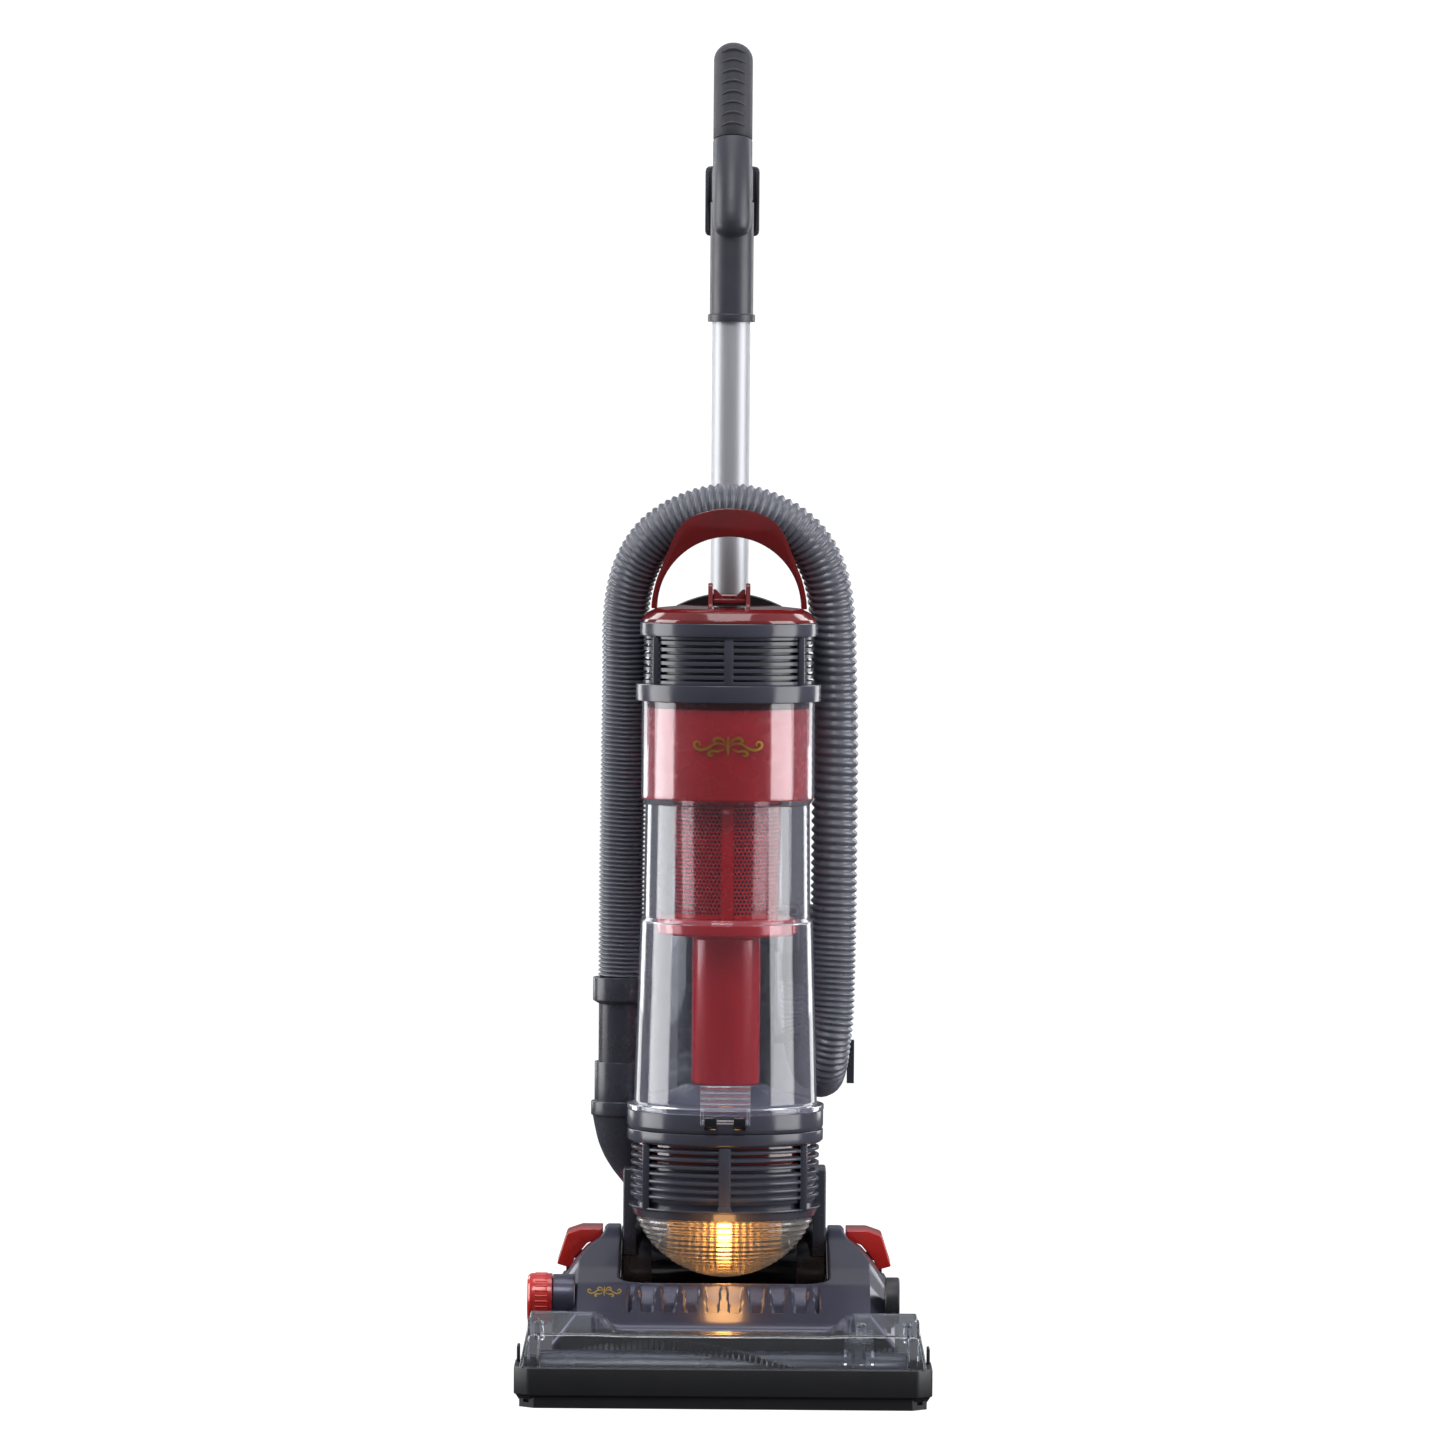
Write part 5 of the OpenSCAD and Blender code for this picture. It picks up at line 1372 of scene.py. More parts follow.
def make_reflector():
    """The fluted reflector behind the bulb."""
    columns = 140
    points, faces = [], []
    for k in range(columns + 1):
        x = -71 + 142 * k / columns
        y = BIN_Y - 2.2 - 0.3 * math.cos(TURN * x / 6.0)
        foot = LENS_Z - math.sqrt(75.0 ** 2 - x * x - (BIN_Y - y) ** 2)
        foot = min(foot, LENS_HIGH.z - 1.5)
        points += [(x, y, foot), (x, y, LENS_HIGH.z - 0.6), (x, BIN_Y - 0.2, LENS_HIGH.z - 0.6),
                   (x, BIN_Y - 0.2, foot)]
    for k in range(columns):
        a, b = 4 * k, 4 * k + 4
        faces += [(a + m, a + (m + 1) % 4, b + (m + 1) % 4, b + m) for m in range(4)]
    faces += [(0, 3, 2, 1), tuple(4 * columns + m for m in range(4))]
    return smooth(tidy(solid("fluted_reflector", points, faces)), 50.0)


piece(make_housing(), "upright", "dark_grey_plastic", "ring", "lower_housing")
piece(make_vents(), "upright", "dark_grey_plastic", "ring", "vent_grille")
piece(hoop("filter_glow", 73.2, 72.5, VENT_HIGH.z - 19, VENT_HIGH.z, BIN_AXIS, 0.1), "upright", "red_plastic",
      "ruby")
piece(make_lens(), "upright", "lens_plastic", "lens", "headlight_lens")
piece(make_reflector(), "upright", "steel", "mirror")
shades = []
for x in (-47.0, 47.0):
    foot_z = LENS_Z - math.sqrt(72.0 ** 2 - x * x)
    outline = [(BIN_Y - 1, foot_z), (BIN_Y - 1, LENS_HIGH.z - 1), (BIN_Y - 48, LENS_HIGH.z - 1),
               (BIN_Y - 40, foot_z + 12)]
    shades.append(pulled("shade", outline, "x", x - 0.8, x + 0.8, 0.3))
piece(join("lamp_side_shades", *shades), "upright", "steel", "tube")
lens_screws = [rod("screw", "y", BIN_Y - 37, BIN_Y - 3, (x, 121), 4.2, 0.8, 24) for x in (-50, 50)]
piece(smooth(join("lens_screws", *lens_screws)), "upright", "steel", "steel")
bulb = [turned("glass", [(0, 103), (5.6, 105, 3), (6.4, 120, 6), (5.6, 137, 3), (0, 138)], (0, -9.5), 48)]
piece(join("lamp_bulb", *bulb), "upright", "lamp_glass", "lamp", "headlight_bulb")


def make_fork(side):
    """One side of the fork, with its round foot and its trunnion."""
    high_x, y0, y1 = 84.6, PIVOT_Y - 30, PIVOT_Y + 23
    x = sorted((side * 56, side * high_x))
    arm = brick("arm", (x[0], y0, PIVOT_Z + 4), (x[1], y1, YOKE_HIGH.z), 1.8, 3)
    cut(arm, rod("drum", "z", 0, 400, BIN_AXIS, VENT_R + 0.1, 0.0, 128))
    disc_x = sorted((side * 60, side * high_x))
    disc = rod("disc", "x", disc_x[0], disc_x[1], (PIVOT_Y, PIVOT_Z), 24.9, 1.6, 72)
    pin_x = sorted((side * 80, side * YOKE_HIGH.x))
    pin = rod("pin", "x", pin_x[0], pin_x[1], (PIVOT_Y, PIVOT_Z), 14.0, 0.6, 48)
    name = "fork_right" if side > 0 else "fork_left"
    return smooth(join(name, arm, disc, pin))


def make_fork_drum():
    """The round bridge between the fork's feet, hollowed where the lamp's bowl sits."""
    drum = rod("fork_bridge", "x", -61, 61, (PIVOT_Y, PIVOT_Z), 24.7, 0.8, 72)
    ball = turned("ball", dome_outline(LENS_R + 1, LENS_Z - LENS_R - 1, LENS_Z + 70, LENS_Z), BIN_AXIS, 96)
    return smooth(cut(drum, ball))


piece(make_fork(-1), "upright", "black_plastic", "housing", "yoke_left")
piece(make_fork(1), "upright", "black_plastic", "housing", "yoke_right")
piece(make_fork_drum(), "upright", "black_plastic", "gloss_black")


# ---- hose ends ----

def make_port():
    """The elbow from the fork's air way up to the hose's socket."""
    stations = ((-69, 84, 156, 11), (-72, 83.6, 163, 14), (-77, 83, 173, 17), (-81.5, 82.4, 184, 19.4),
                (-85, 81.4, 196, 21), (-87, 80.6, 208, 22), (PORT_X, PORT_Y, 219.2, 23.3))
    line = curve_through([(x, y, z) for x, y, z, r in stations], 4)
    radii = [r for station in zip(stations, stations[1:]) for r in
             [station[0][3] + (station[1][3] - station[0][3]) * k / 4 for k in range(4)]] + [stations[-1][3]]
    rings = [[(x, y, p.z) for x, y in circle(p.x, p.y, r, 64)] for p, r in zip(line, radii)]
    elbow = skin("elbow", rings)
    centre = (PORT_X, PORT_Y)
    rim = hoop("rim", 24.5, 16, 219, 231, centre, 1.0, 72)
    sleeve = hoop("sleeve", 21.7, 18.9, 230, PORT_TOP, centre, 0.6, 72)
    return smooth(join("hose_port_elbow", elbow, rim, sleeve), 40.0)


def make_inlet():
    """The elbow that turns the hose's air into the spine."""
    x, y, r = (HOSE_POINTS[-1][0], HOSE_POINTS[-1][1], 21.4)
    top = ELBOW_LOW.z + 47
    outline = [(16.6, ELBOW_LOW.z + 0.1), (r, ELBOW_LOW.z + 0.1, 0.8), (r, top, 0)]
    outline += quarter(r, top, 12)
    outline += [(0, top + r - 3), (10, top + r - 6), (16.6, top)]
    dome = turned("dome", outline, (x, y), 72)
    block = brick("block", (ELBOW_LOW.x, y - 36, ELBOW_LOW.z + 27), (x, y, ELBOW_LOW.z + 67), 4.0, 3)
    return smooth(join("inlet_elbow_cover", dome, block))


piece(make_port(), "upright", "black_plastic", "housing", "port_elbow")
piece(make_inlet(), "upright", "black_plastic", "black", "inlet_elbow")


# ---- dust bin ----

DOOR_LOW, DOOR_HIGH = box_mm("bin_door")
LATCH_LOW, LATCH_HIGH = box_mm("door_latch")
SLEEVE_LOW, SLEEVE_HIGH = box_mm("red_sleeve")
SHROUD_LOW, SHROUD_HIGH = box_mm("shroud")
TUBE_LOW, TUBE_HIGH = box_mm("inner_tube")
RING_HIGH = box_mm("bin_lid_ring")[1]
CAGE_LOW, CAGE_HIGH = box_mm("filter_cage")
LID_LOW, LID_HIGH = box_mm("lid_ring")
DOME_LOW, DOME_HIGH = box_mm("lid_cap")
BIN_T = 2.5


def make_bin():
    """The clear bin: a tapered cup, a straight neck and a wider band, with a rim at its foot."""
    r = BODY_HIGH.x
    outer = [(r, 230.05, 0.8), (r, 234.4, 1.0), (77.6, 235.2, 1.2), (76.0, 237, 1.0), (71.6, 386.5, 1.6),
             (69.2, 389.6, 1.4), (68.2, 483.0, 1.0), (71.9, 488.5, 1.6), (71.9, 568.9, 0.6)]
    inner = [(71.9 - BIN_T, 568.9, 0.3), (71.9 - BIN_T, 489.5, 1.2), (68.2 - BIN_T, 484.5, 1.0),
             (69.2 - BIN_T, 388.6, 1.2), (71.6 - BIN_T, 385.0, 1.2), (76.0 - BIN_T, 234, 1.0),
             (76.0 - BIN_T, 230.05, 0.3)]
    cup = turned("clear_dust_bin", rounded(outer + inner, 0.0, 4), BIN_AXIS, 144)
    return smooth(cup, 28.0)


def make_door():
    """The bin's floor: a rimmed disc with a seat that rises to the inner tube."""
    r = DOOR_HIGH.x
    low, high = DOOR_LOW.z, DOOR_HIGH.z
    disc = turned("disc", [(0, low), (r - 1, low, 1.0), (r - 0.1, low + 3, 0.8), (r - 0.1, 229.9, 0.8),
                           (74, 229.9), (72.8, 231.2, 0.5), (62, 236, 2), (32, high - 1.2, 1.0),
                           (29, high - 0.4, 0.4), (26, high - 3, 1), (0, high - 8)], BIN_AXIS, 128)
    hinge = rod("hinge", "x", -24, 24, (DOOR_HIGH.y - 5, 222), 5.0, 0.8, 32)
    return smooth(join("bin_floor_door", disc, hinge))


def make_prongs():
    """The two black prongs that hold the latch's pin."""
    prongs = []
    for side in (-1, 1):
        x = sorted((side * 6.7, side * 17.2))
        outline = rounded([(BIN_Y - 78, 217.4), (DOOR_LOW.y + 2, 218.4, 2), (DOOR_LOW.y, 221.6, 1.5),
                           (DOOR_LOW.y, 228.6, 1), (BIN_Y - 78, 229.6)])
        prongs.append(pulled("prong", outline, "x", x[0], x[1], 0.9, 3))
    return smooth(join("door_prongs", *prongs))


def make_latch():
    """The clear latch: a ribbed thumb plate on two arms."""
    y0, y1 = LATCH_LOW.y, LATCH_LOW.y + 4.1
    outline = [(y1, 233.6, 0.6), (y0 + 1.4, 233.6, 0.6)]
    for k in range(3):
        z = 237.0 + 4.6 * k
        outline += [(y0 + 1.4, z, 0.3), (y0 + 0.1, z + 1.2, 0.4), (y0 + 0.1, z + 2.4, 0.4),
                    (y0 + 1.4, z + 3.4, 0.3)]
    outline += [(y0 + 1.6, 251.5, 0.6), (y0 + 0.2, LATCH_HIGH.z - 1.5, 0.5), (y0 + 1.0, LATCH_HIGH.z, 0.5),
                (y1, LATCH_HIGH.z - 0.4, 0.8)]
    plate = pulled("plate", rounded(outline), "x", -20.4, 20.4, 0.6)
    arms = []
    for side in (-1, 1):
        x = sorted((side * 17.9, side * 20.4))
        arms.append(brick("arm", (x[0], y0 + 0.6, LATCH_LOW.z + 0.2), (x[1], y1, 236), 0.6))
    pin = rod("pin", "x", -19, 19, (LATCH_LOW.y + 2.6, 225), 1.6, 0.3, 24)
    return smooth(join("bin_door_latch", plate, pin, *arms))


def make_shroud():
    """The shroud's cone, with a plain band round its middle and a plain strip down its front."""
    foot, top = 43.0, 45.0
    body = turned("body", [(foot - 2, SHROUD_LOW.z), (foot, SHROUD_LOW.z, 0.4), (top, SHROUD_HIGH.z, 0.2),
                           (top - 2, SHROUD_HIGH.z)], BIN_AXIS, 128)
    band = hoop("band", 44.5, 42, 453, 459, BIN_AXIS, 0.5)
    strip = brick("strip", (-5, BIN_Y - 45.3, SHROUD_LOW.z), (5, BIN_Y - 41, SHROUD_HIGH.z - 0.2), 0.8)
    return smooth(join("cyclone_shroud", body, band, strip))


def make_hole_shade_discs():
    """Rows of thin black discs on the shroud, staggered from row to row: painted shade standing in for its
    fine holes.
    """
    # Each stamp is a thin black disc on the shroud's skin, not a cut hole: painted shade for the dark inside
    # a hole.
    hole = rod("hole", "x", -0.6, 0.14, (0, 0), 1.12, 0.0, 10)
    return repeated("shroud_holes", hole, "gloss_black", 84, 28, 43.05, top_radius=45.0,
                    foot=(0, BIN_Y, SHROUD_LOW.z + 5), pitch=3.3, stagger=0.5)


def make_skirt_and_tube():
    """The dirt skirt under the shroud and the tube below it."""
    top = TUBE_HIGH.z
    outline = [(26, TUBE_LOW.z), (28.4, TUBE_LOW.z, 0.6), (28.4, 372, 2.0), (40, 375.5, 2),
               (57.6, 375.2, 0.8), (58.9, 377, 0.8), (58.9, top - 2.2, 1.4),
               (56.2, top - 0.1, 1.2), (26, top - 0.1)]
    return turned("dirt_skirt_and_tube", outline, BIN_AXIS, 128)


def make_sleeve():
    """The red band inside the bin, above the cup."""
    r = SLEEVE_HIGH.x - 0.1
    outline = [(66.4, SLEEVE_LOW.z), (r, SLEEVE_LOW.z, 0.6), (r, SLEEVE_HIGH.z, 0.6), (66.4, SLEEVE_HIGH.z)]
    return turned("red_sleeve_band", outline, BIN_AXIS, 128)


piece(make_bin(), "bin", "clear_plastic", "clear", "dust_bin")
piece(make_door(), "bin", "black_plastic", "ring", "bin_door")
piece(make_prongs(), "bin", "black_plastic", "gloss_black")
piece(make_latch(), "bin_latch", "clear_plastic", "latch", "door_latch")
piece(make_shroud(), "bin", "red_plastic", "deep_red", "shroud")
# The black discs on the shroud are painted shade for its holes.
piece(make_hole_shade_discs(), "bin", "red_plastic", "gloss_black")
piece(make_skirt_and_tube(), "bin", "red_plastic", "tube_red", "inner_tube")
piece(make_sleeve(), "bin", "ruby_plastic", "deep_red", "red_sleeve")


def on_bin(u, v, lift):
    """A point of the bin's upper band, u round it and v up."""
    r = 72.0 + lift
    return r * math.sin(u / 72.0), BIN_Y - r * math.cos(u / 72.0), 533.0 + v


piece(flourish("bin_gilt_flourish", on_bin, 1.0), "bin", "ruby_plastic", "gold")


# ---- lid of the bin ----

def make_top_ring():
    """The ring that closes the bin's top."""
    r = RING_HIGH.x
    outline = [(68.0, 569.1), (r - 0.3, 569.1, 0.4), (r - 0.1, 576, 0.2),
               (r - 0.1, RING_HIGH.z - 0.6, 0.4), (r - 0.6, RING_HIGH.z, 0.3), (68.0, RING_HIGH.z)]
    return turned("bin_top_ring", outline, BIN_AXIS, 128)


def make_cage():
    """The slotted cage round the pre-motor filter."""
    low, high, r = CAGE_LOW.z, CAGE_HIGH.z, CAGE_HIGH.x
    parts = [hoop("floor", r - 0.1, 63, low, low + 3.2, BIN_AXIS, 0.5),
             hoop("roof", r - 0.1, 63, high - 2.6, high, BIN_AXIS, 0.5)]
    for k in range(6):
        z = low + 5.0 + 5.6 * k
        slat = [(65.4, z + 0.6), (r - 0.3, z, 0.3), (r - 0.3, z + 3.1, 0.3), (66.4, z + 3.8), (65.4, z + 3.8)]
        parts.append(turned("slat", slat, BIN_AXIS))
    slats = join("slats", *parts)
    posts = [pulled("post", [(-4, low), (4, low), (4, high), (-4, high)], "y",
                    BIN_Y - r - 0.1, BIN_Y - 65, 1.4, 2)]
    for x in (-60.0, 60.0):
        for side in (-1, 1):
            y = BIN_Y + side * math.sqrt(r * r - x * x)
            posts.append(brick("post", (x - 2.6, y - 4.5, low), (x + 2.6, y + 4.5, high), 1.0))
    return smooth(join("filter_cage_slats", slats, *posts))


def make_lid_ring():
    """The lid's rim above the cage."""
    r = LID_HIGH.x
    low, high = LID_LOW.z, LID_HIGH.z
    outline = [(60, low), (r - 0.4, low, 0.4), (r - 0.1, low + 2.0, 0.3),
               (r - 0.1, high - 0.7, 0.4), (r - 0.7, high - 0.1, 0.3), (60, high - 0.1)]
    return turned("lid_rim", outline, BIN_AXIS, 128)


ARCH_Z = DOME_LOW.z + 11.0
ARCH_R = 62.5
ARCH_FRONT, ARCH_BACK = BIN_Y - 4.0, BIN_Y + 40.0
# Reach of the arch's lip from its centre, by degrees above the dome
LIP_REACH = ((0, 64.6), (15, 64.4), (32, 65.8), (45, 70.5), (55, 77.5), (62, 81.4), (70, 83.0), (90, 83.4))


def make_dome():
    """The lid's low ruby dome."""
    r = DOME_HIGH.x
    low = DOME_LOW.z
    outline = [(0, low), (r - 0.2, low, 0.4), (r - 1.0, low + 2.6, 1.4), (r - 6, low + 8.2, 3),
               (r - 13, low + 11.6, 4), (r - 33, low + 13.6, 10), (0, low + 13.8)]
    return turned("ruby_lid_dome", outline, BIN_AXIS, 128)


def make_arch():
    """The lid's ruby carry arch, a broad band with a deeper lip at the front."""
    parts = []
    outer = circle(0, ARCH_Z, ARCH_R, 96, 0.0, math.pi)
    inner = circle(0, ARCH_Z, ARCH_R - 2.7, 96, math.pi, 0.0)
    parts.append(pulled("band", outer + inner, "y", ARCH_FRONT, ARCH_BACK, 0.8))
    lip_in = circle(0, ARCH_Z, ARCH_R - 2.6, 96, math.pi, 0.0)
    lip_out = []
    for k in range(97):
        angle = math.pi * k / 96
        reach = soft_level(LIP_REACH, min(180 * k / 96, 180 - 180 * k / 96), 4.0)
        lip_out.append((reach * math.cos(angle), ARCH_Z + reach * math.sin(angle)))
    parts.append(pulled("lip", lip_out + lip_in, "y", ARCH_FRONT - 0.2, ARCH_FRONT + 2.3, 0.9))
    return smooth(join("ruby_carry_arch", *parts))


def make_ears():
    """The two ears that hold the lid's lever."""
    ears = []
    for side in (-1, 1):
        x = sorted((side * 13.6, side * 17.4))
        outline = rounded([(-48, 636), (-36, 650, 6), (-27, 665, 4), (-23, 667.3, 1.5), (-12, 660, 5),
                           (-4, 645)], steps=4)
        ears.append(pulled("ear", outline, "x", x[0], x[1], 0.8))
    return smooth(join("lever_ears", *ears))


def make_lever():
    """The red lever of the lid, with a finger ledge at its front."""
    low, high = box_mm("lid_lever")
    vee = rounded([(-13.2, 650.8, 0.5), (-13.2, high.z, 0.4), (-11.2, high.z, 0.4), (-3.6, 654.2, 2),
                   (3.6, 654.2, 2), (11.2, high.z, 0.4), (13.2, high.z, 0.4), (13.2, 650.8, 0.5)], steps=4)
    body = pulled("body", vee, "y", -26.5, -6.4, 0.7)
    ledge = brick("ledge", (-13.2, low.y + 0.2, low.z + 0.1), (13.2, -26, 654.2), 0.9)
    pin = rod("pin", "x", -13.5, 13.5, (-20, 656), 2.2, 0.4, 24)
    return smooth(join("lid_release_lever", body, ledge, pin))


piece(make_top_ring(), "bin", "dark_grey_plastic", "ring", "bin_lid_ring")
piece(hoop("cage_liner", 66.2, 65.3, CAGE_LOW.z + 1, CAGE_HIGH.z - 1, BIN_AXIS, 0.1), "bin",
      "black_plastic", "black")
piece(make_cage(), "bin", "dark_grey_plastic", "ring", "filter_cage")
piece(make_lid_ring(), "bin", "black_plastic", "ring", "lid_ring")
piece(make_dome(), "bin", "ruby_plastic", "ruby", "lid_cap")
piece(make_arch(), "bin", "ruby_plastic", "ruby", "lid_cap")
piece(make_ears(), "bin", "ruby_plastic", "ruby")
piece(make_lever(), "bin_lever", "red_plastic", "ruby", "lid_lever")


# ---- wand, handle and hook ----

COLLAR_LOW, COLLAR_HIGH = box_mm("wand_collar")
HOOK_LOW, HOOK_HIGH = box_mm("cord_hook_upper")
LEAN = math.radians(16.0)
BAR_LENGTH = 152.4
BAR_R = 16.5
KNEE = Vector((0.0, WAND_Y - 14.0, 968.0))
BAR_AXIS = Vector((0.0, math.sin(LEAN), math.cos(LEAN)))
BARE = 0.47


def bar_point(share):
    """A point of the handle's bar at a share of its length."""
    return KNEE + BAR_AXIS * (BAR_LENGTH * share)


def bar_ring(centre, direction, radius, sides=48):
    """A ring of points square to a direction."""
    level, across = side_of(Vector(direction))
    angles = [TURN * k / sides for k in range(sides)]
    return [tuple(Vector(centre) + radius * (level * math.cos(a) + across * math.sin(a))) for a in angles]


def make_tube():
    """The satin aluminium wand."""
    return hoop("aluminium_wand", 15.95, 14.8, WAND_LOW.z, WAND_HIGH.z, (0, WAND_Y), 0.3, 72)


def make_collar():
    """The wand's collar with its ring, and the post of the cord hook."""
    outline = [(16.05, COLLAR_LOW.z), (19.9, COLLAR_LOW.z, 0.8), (19.9, COLLAR_LOW.z + 6, 0.8),
               (18.2, COLLAR_LOW.z + 6.6, 0.4), (18.2, 984.6, 0.6), (16.05, 984.6)]
    sleeve = turned("sleeve", outline, (0, WAND_Y), 72)
    post = rod("post", "y", WAND_Y + 12, COLLAR_HIGH.y - 0.2, (0, 986.5), 4.9, 0.6, 32)
    return smooth(join("wand_collar_sleeve", sleeve, post))


def make_handle():
    """The handle's bare lower part: a knee, a leaning bar and a neck down into the collar."""
    rings = [bar_ring(bar_point(-0.085), BAR_AXIS, 6.5), bar_ring(bar_point(-0.075), BAR_AXIS, 11.0),
             bar_ring(bar_point(-0.055), BAR_AXIS, 14.2), bar_ring(bar_point(-0.02), BAR_AXIS, 16.1),
             bar_ring(bar_point(0.03), BAR_AXIS, BAR_R), bar_ring(bar_point(BARE - 0.012), BAR_AXIS, BAR_R),
             bar_ring(bar_point(BARE - 0.003), BAR_AXIS, BAR_R - 1.0)]
    bar = skin("bar", rings)
    outline = [(0, 985.3), (17.3, 985.3, 0.8), (17.3, 1009)]
    outline += quarter(17.3, 1009, 10)
    neck = turned("neck", outline, (0, WAND_Y), 72)
    return smooth(join("handle_shells", bar, neck), 40.0)


def make_seam():
    """The line where the handle's two halves meet."""
    front = bar_point(0.02) - Vector((0, math.cos(LEAN), -math.sin(LEAN))) * (BAR_R - 0.02)
    back = bar_point(BARE - 0.02) - Vector((0, math.cos(LEAN), -math.sin(LEAN))) * (BAR_R - 0.02)
    depth = Vector((0, 0.4, 0))
    points = []
    for x in (-0.16, 0.16):
        points += [(x, *tuple(p)[1:]) for p in (front, back, back + depth, front + depth)]
    faces = [(0, 1, 2, 3), (7, 6, 5, 4), (0, 4, 5, 1), (1, 5, 6, 2), (2, 6, 7, 3), (3, 7, 4, 0)]
    return tidy(solid("handle_seam", points, faces))


def make_grip():
    """The rubber grip with arched ridges down its front."""
    shares = [BARE, BARE + 0.006] + [BARE + 0.006 + (0.93 - BARE) * k / 8 for k in range(1, 8)] + [0.93]
    rings = [bar_ring(bar_point(BARE), BAR_AXIS, BAR_R - 0.8)]
    rings += [bar_ring(bar_point(s), BAR_AXIS, BAR_R - 0.05) for s in shares[1:]]
    for k in range(1, 9):
        angle = math.pi / 2 * k / 8.3
        rings.append(bar_ring(bar_point(0.93) + BAR_AXIS * (15.0 * math.sin(angle)), BAR_AXIS,
                              (BAR_R - 0.05) * math.cos(angle)))
    body = skin("body", rings)
    ridges = []
    out = Vector((0, -math.cos(LEAN), math.sin(LEAN)))
    for k in range(8):
        centre = bar_point(BARE) + BAR_AXIS * (7.5 + 9.3 * k)
        arc = []
        for j in range(17):
            angle = math.radians(-38 + 76 * j / 16)
            rise = 2.4 * math.cos(math.radians(-90 + 180 * j / 16))
            arc.append(centre + (out * math.cos(angle) + Vector((1, 0, 0)) * math.sin(angle)) * (BAR_R - 0.1)
                       + BAR_AXIS * rise)
        ring_list = []
        for j, p in enumerate(arc):
            ahead = arc[min(j + 1, 16)] - arc[max(j - 1, 0)]
            size = 1.3 * math.sqrt(max(math.sin(math.pi * (j + 0.4) / 16.8), 0.02))
            ring_list.append(bar_ring(p, ahead, size, 10))
        ridges.append(skin("ridge", ring_list))
    return smooth(join("rubber_grip", body, *ridges), 45.0)


def hook_outline(low, high):
    """The rounded outline of a cord hook's plate."""
    return rounded([(low.x, low.z), (high.x, low.z), (high.x, high.z), (low.x, high.z)], 5.0)


def make_upper_hook():
    """The upper cord hook: a flanged plate on a round hub."""
    low, high = HOOK_LOW, HOOK_HIGH
    plate = pulled("plate", hook_outline(low, high), "y", high.y - 5.5, high.y - 0.2, 1.4, 3)
    sides = []
    for side in (-1, 1):
        x = sorted((side * 20.0, side * 22.9))
        sides.append(brick("flange", (x[0], 151, low.z + 4), (x[1], 168, high.z - 4), 1.2))
    hub = rod("hub", "y", low.y + 0.2, 167, (0, 986.5), 8.9, 0.8, 48)
    return smooth(join("upper_cord_hook", plate, hub, *sides))


def make_lower_hook():
    """The lower cord hook on the spine's back."""
    low, high = box_mm("cord_hook_lower")
    plate = pulled("plate", hook_outline(low, high), "y", high.y - 4.0, high.y - 0.1, 1.2, 3)
    stem = brick("stem", (low.x + 8, low.y, low.z + 9), (high.x - 8, high.y - 2, high.z - 8), 1.5)
    return smooth(join("lower_cord_hook", plate, stem))


def make_spine_cap():
    """The cap that the wand stands in."""
    low, high = box_mm("spine_cap")
    crown = [(x, high.z - x * x / 180.0) for x in [low.x + 2 + 4.4 * k for k in range(21)]]
    outline = [(low.x, low.z), (low.x, crown[0][1] - 2.5)] + crown
    outline += [(high.x, crown[-1][1] - 2.5), (high.x, low.z)]
    cap = pulled("spine_top_cap", outline, "y", low.y, high.y, 1.6, 3)
    return smooth(cut(cap, rod("drum", "z", 0, 900, BIN_AXIS, 82.2, 0.0, 128),
                      rod("socket", "z", low.z + 20, 900, (0, WAND_Y), 16.2, 0.0, 72)))


piece(make_tube(), "wand", "wand_aluminium", "tube", "wand_tube")
piece(make_collar(), "wand", "handle_plastic", "handle", "wand_collar")
piece(make_handle(), "wand", "handle_plastic", "handle", "handle_left", "handle_right")
piece(make_seam(), "wand", "handle_plastic", "black")
piece(make_grip(), "wand", "soft_rubber", "grip", "grip")
piece(make_upper_hook(), "cord_hook", "handle_plastic", "handle", "cord_hook_upper")
piece(make_lower_hook(), "upright", "black_plastic", "black", "cord_hook_lower")
piece(make_spine_cap(), "upright", "black_plastic", "black", "spine_cap")


# ---- finishes of the CAD nodes that stay as they are ----

KEPT = {
    "head_base": "base", "cover_pan": "gloss_black", "belt_guard": "window", "brush_bearings": "black",
    "brush_motor": "steel", "drive_belt": "belt", "suction_duct": "black", "wheel_axles": "steel",
    "motor_pulley": "steel", "wheel_carriage": "black", "front_rollers": "black", "headlight_bowl": "black",
    "exhaust_filter": "black", "motor_can": "steel", "spine": "housing", "cord_gland": "tyre",
    "fan_rotor": "tube", "wand_button": "red", "door_seal": "tyre", "pre_filter": "black"}

for node_name, finish_name in KEPT.items():
    node = bpy.data.objects[node_name]
    for place in range(len(node.data.materials)):
        node.data.materials[place] = FINISH[finish_name]


# ---- stage and light ----

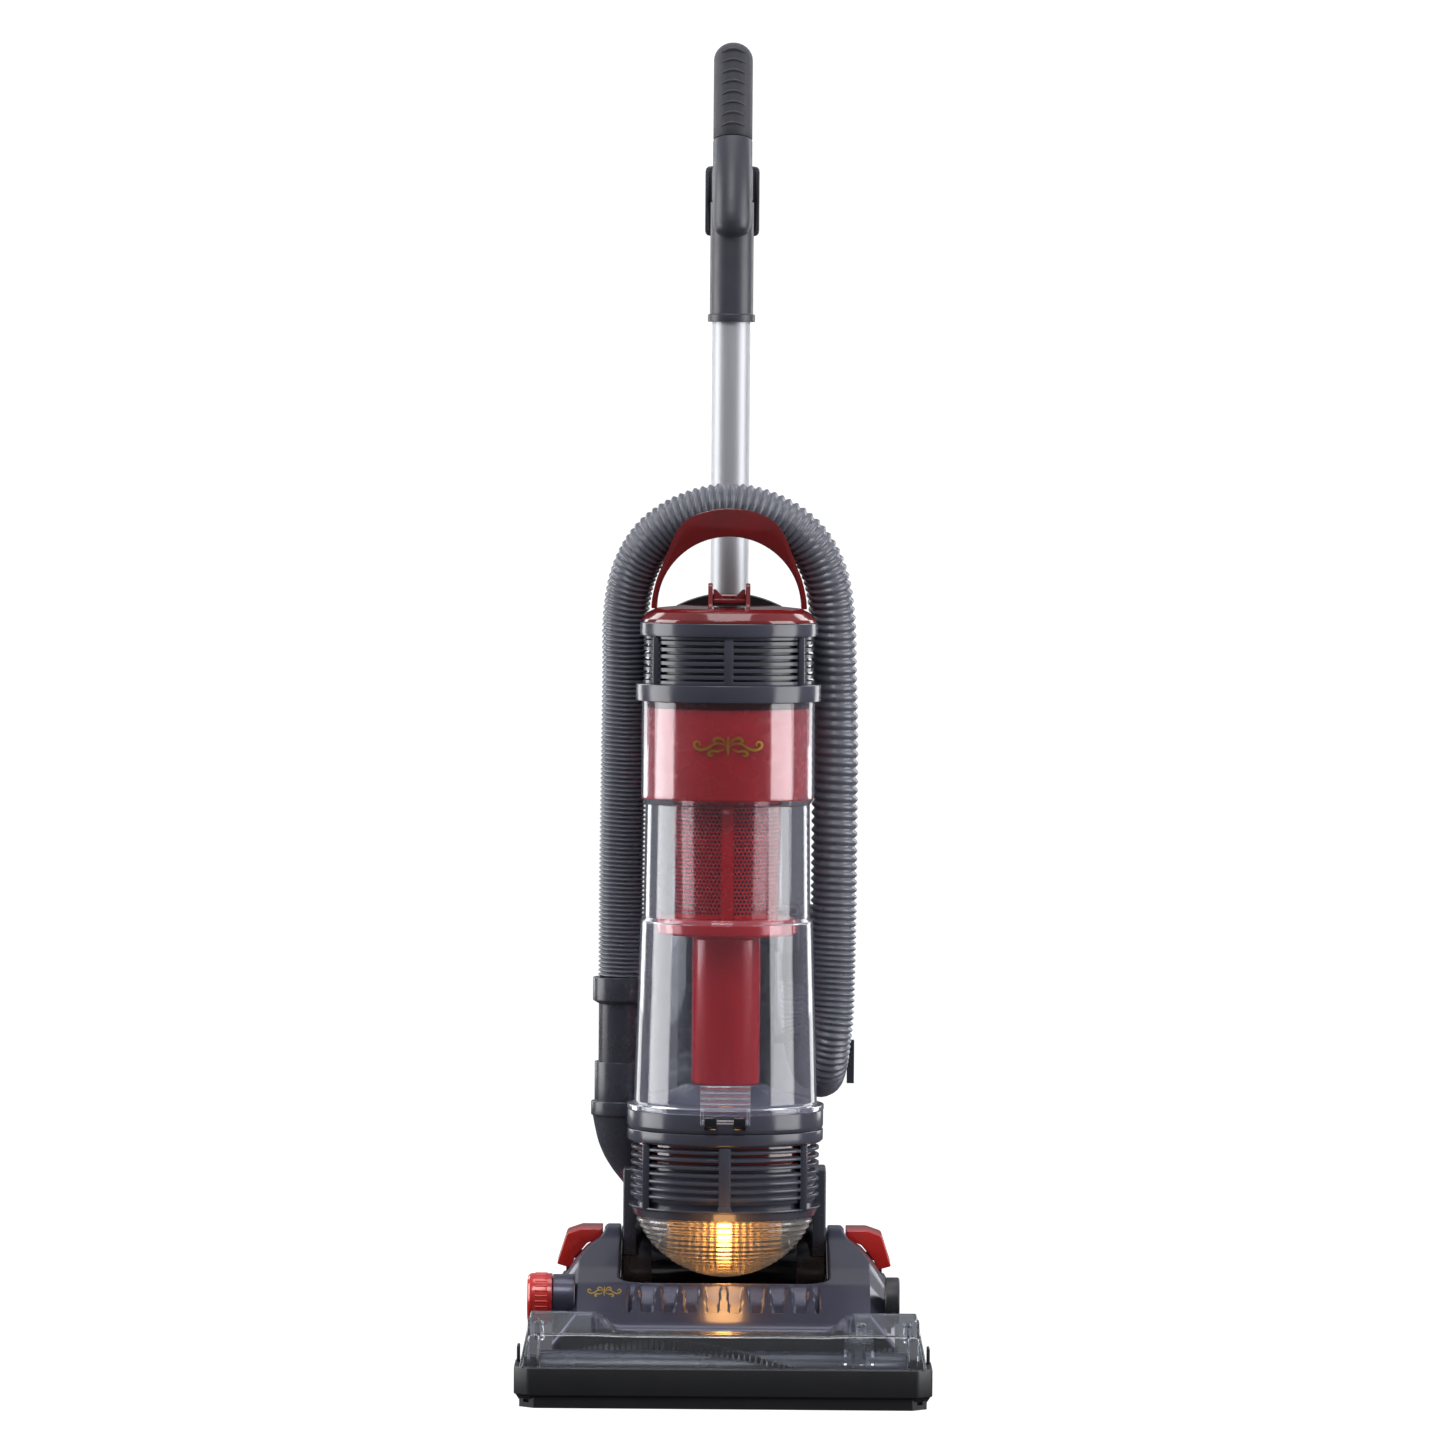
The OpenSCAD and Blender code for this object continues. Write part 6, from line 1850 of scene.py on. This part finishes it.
def set_stage():
    """A pale floor and a white surround; the soft boxes either side and above are set in set_lights."""
    floor = solid("floor", [(-15000, -9000, 0), (15000, -9000, 0), (15000, 15000, 0), (-15000, 15000, 0)],
                  [(0, 1, 2, 3)])
    material, tree = blank("pale_floor")
    dust = speckle(tree, object_place(tree), 60.0, 3.0)
    shader = add(tree, "ShaderNodeBsdfPrincipled", {
        "Base Color": blend_colours(tree, dust, "#f2f2f2", "#f6f6f6"), "Roughness": 0.6,
        "Emission Color": (1.0, 1.0, 1.0, 1.0), "Emission Strength": 0.45})
    path = add(tree, "ShaderNodeLightPath")
    white = add(tree, "ShaderNodeEmission", {"Color": (1.0, 1.0, 1.0, 1.0), "Strength": 1.1})
    dim = add(tree, "ShaderNodeEmission", {"Color": (0.9, 0.92, 1.0, 1.0), "Strength": 0.12})
    seen = add(tree, "ShaderNodeMixShader", {0: 0.8, 1: shader.outputs[0], 2: white.outputs[0]})
    mixed = add(tree, "ShaderNodeMixShader", {0: path.outputs["Is Camera Ray"], 1: dim.outputs[0],
                                              2: seen.outputs[0]})
    close(tree, mixed.outputs[0])
    floor.data.materials.append(material)

    world = bpy.data.worlds.new("studio")
    world.use_nodes = True
    tree = world.node_tree
    tree.nodes.clear()
    path = add(tree, "ShaderNodeLightPath")
    direction = add(tree, "ShaderNodeTexCoord").outputs["Generated"]
    height = add(tree, "ShaderNodeSeparateXYZ", {0: direction}).outputs[2]
    glow = add(tree, "ShaderNodeMapRange", {"Value": height, "From Min": -0.1, "From Max": 0.8,
                                            "To Min": 0.08, "To Max": 0.5}).outputs[0]
    soft = add(tree, "ShaderNodeBackground", {"Color": (0.90, 0.93, 1.0, 1.0), "Strength": glow})
    white = add(tree, "ShaderNodeBackground", {"Color": (1.0, 1.0, 1.0, 1.0), "Strength": 1.1})
    mixed = add(tree, "ShaderNodeMixShader", {0: path.outputs["Is Camera Ray"], 1: soft.outputs[0],
                                              2: white.outputs[0]})
    add(tree, "ShaderNodeOutputWorld", {"Surface": mixed.outputs[0]})
    bpy.context.scene.world = world
    bpy.context.scene.view_settings.view_transform = "Standard"


def softbox(name, place, aim, width, height, power):
    """A rectangular area light that faces a point."""
    lamp = bpy.data.lights.new(name, "AREA")
    lamp.shape = "RECTANGLE"
    lamp.size = width
    lamp.size_y = height
    lamp.energy = power
    holder = bpy.data.objects.new(name, lamp)
    toward = Vector(aim) - Vector(place)
    holder.matrix_world = Matrix.Translation(place) @ toward.to_track_quat("-Z", "Y").to_matrix().to_4x4()
    bpy.context.scene.collection.objects.link(holder)


def bulb_light(name, place, power, radius):
    """The warm light of the headlight's bulb."""
    lamp = bpy.data.lights.new(name, "POINT")
    lamp.energy = power
    lamp.color = (1.0, 0.5, 0.16)
    lamp.shadow_soft_size = radius
    holder = bpy.data.objects.new(name, lamp)
    holder.location = place
    bpy.context.scene.collection.objects.link(holder)


def set_lights():
    """Soft boxes round the cleaner, and the headlight's own two lights."""
    softbox("left_softbox", (-1.65, 0.16, 0.75), (0, 0.02, 0.62), 1.1, 2.2, 34.0)
    softbox("right_softbox", (1.65, -0.34, 0.75), (0, 0.02, 0.62), 1.15, 2.2, 34.0)
    softbox("front_softbox", (-0.4, -2.6, 3.4), (0, 0, 0.45), 1.6, 1.2, 42.0)
    softbox("top_softbox", (0.0, 0.1, 2.6), (0, 0, 0.3), 1.2, 1.2, 12.0)
    softbox("back_left_strip", (-1.1, 1.5, 1.0), (0, 0.1, 0.6), 0.5, 1.8, 8.0)
    softbox("back_right_strip", (1.1, 1.5, 1.0), (0, 0.1, 0.6), 0.5, 1.8, 8.0)
    bulb_light("headlight_glow", (0.0, -0.004, 0.120), 0.055, 0.003)
    bulb_light("headlight_spill", (0.0, -0.074, 0.124), 0.10, 0.016)


set_stage()
set_lights()
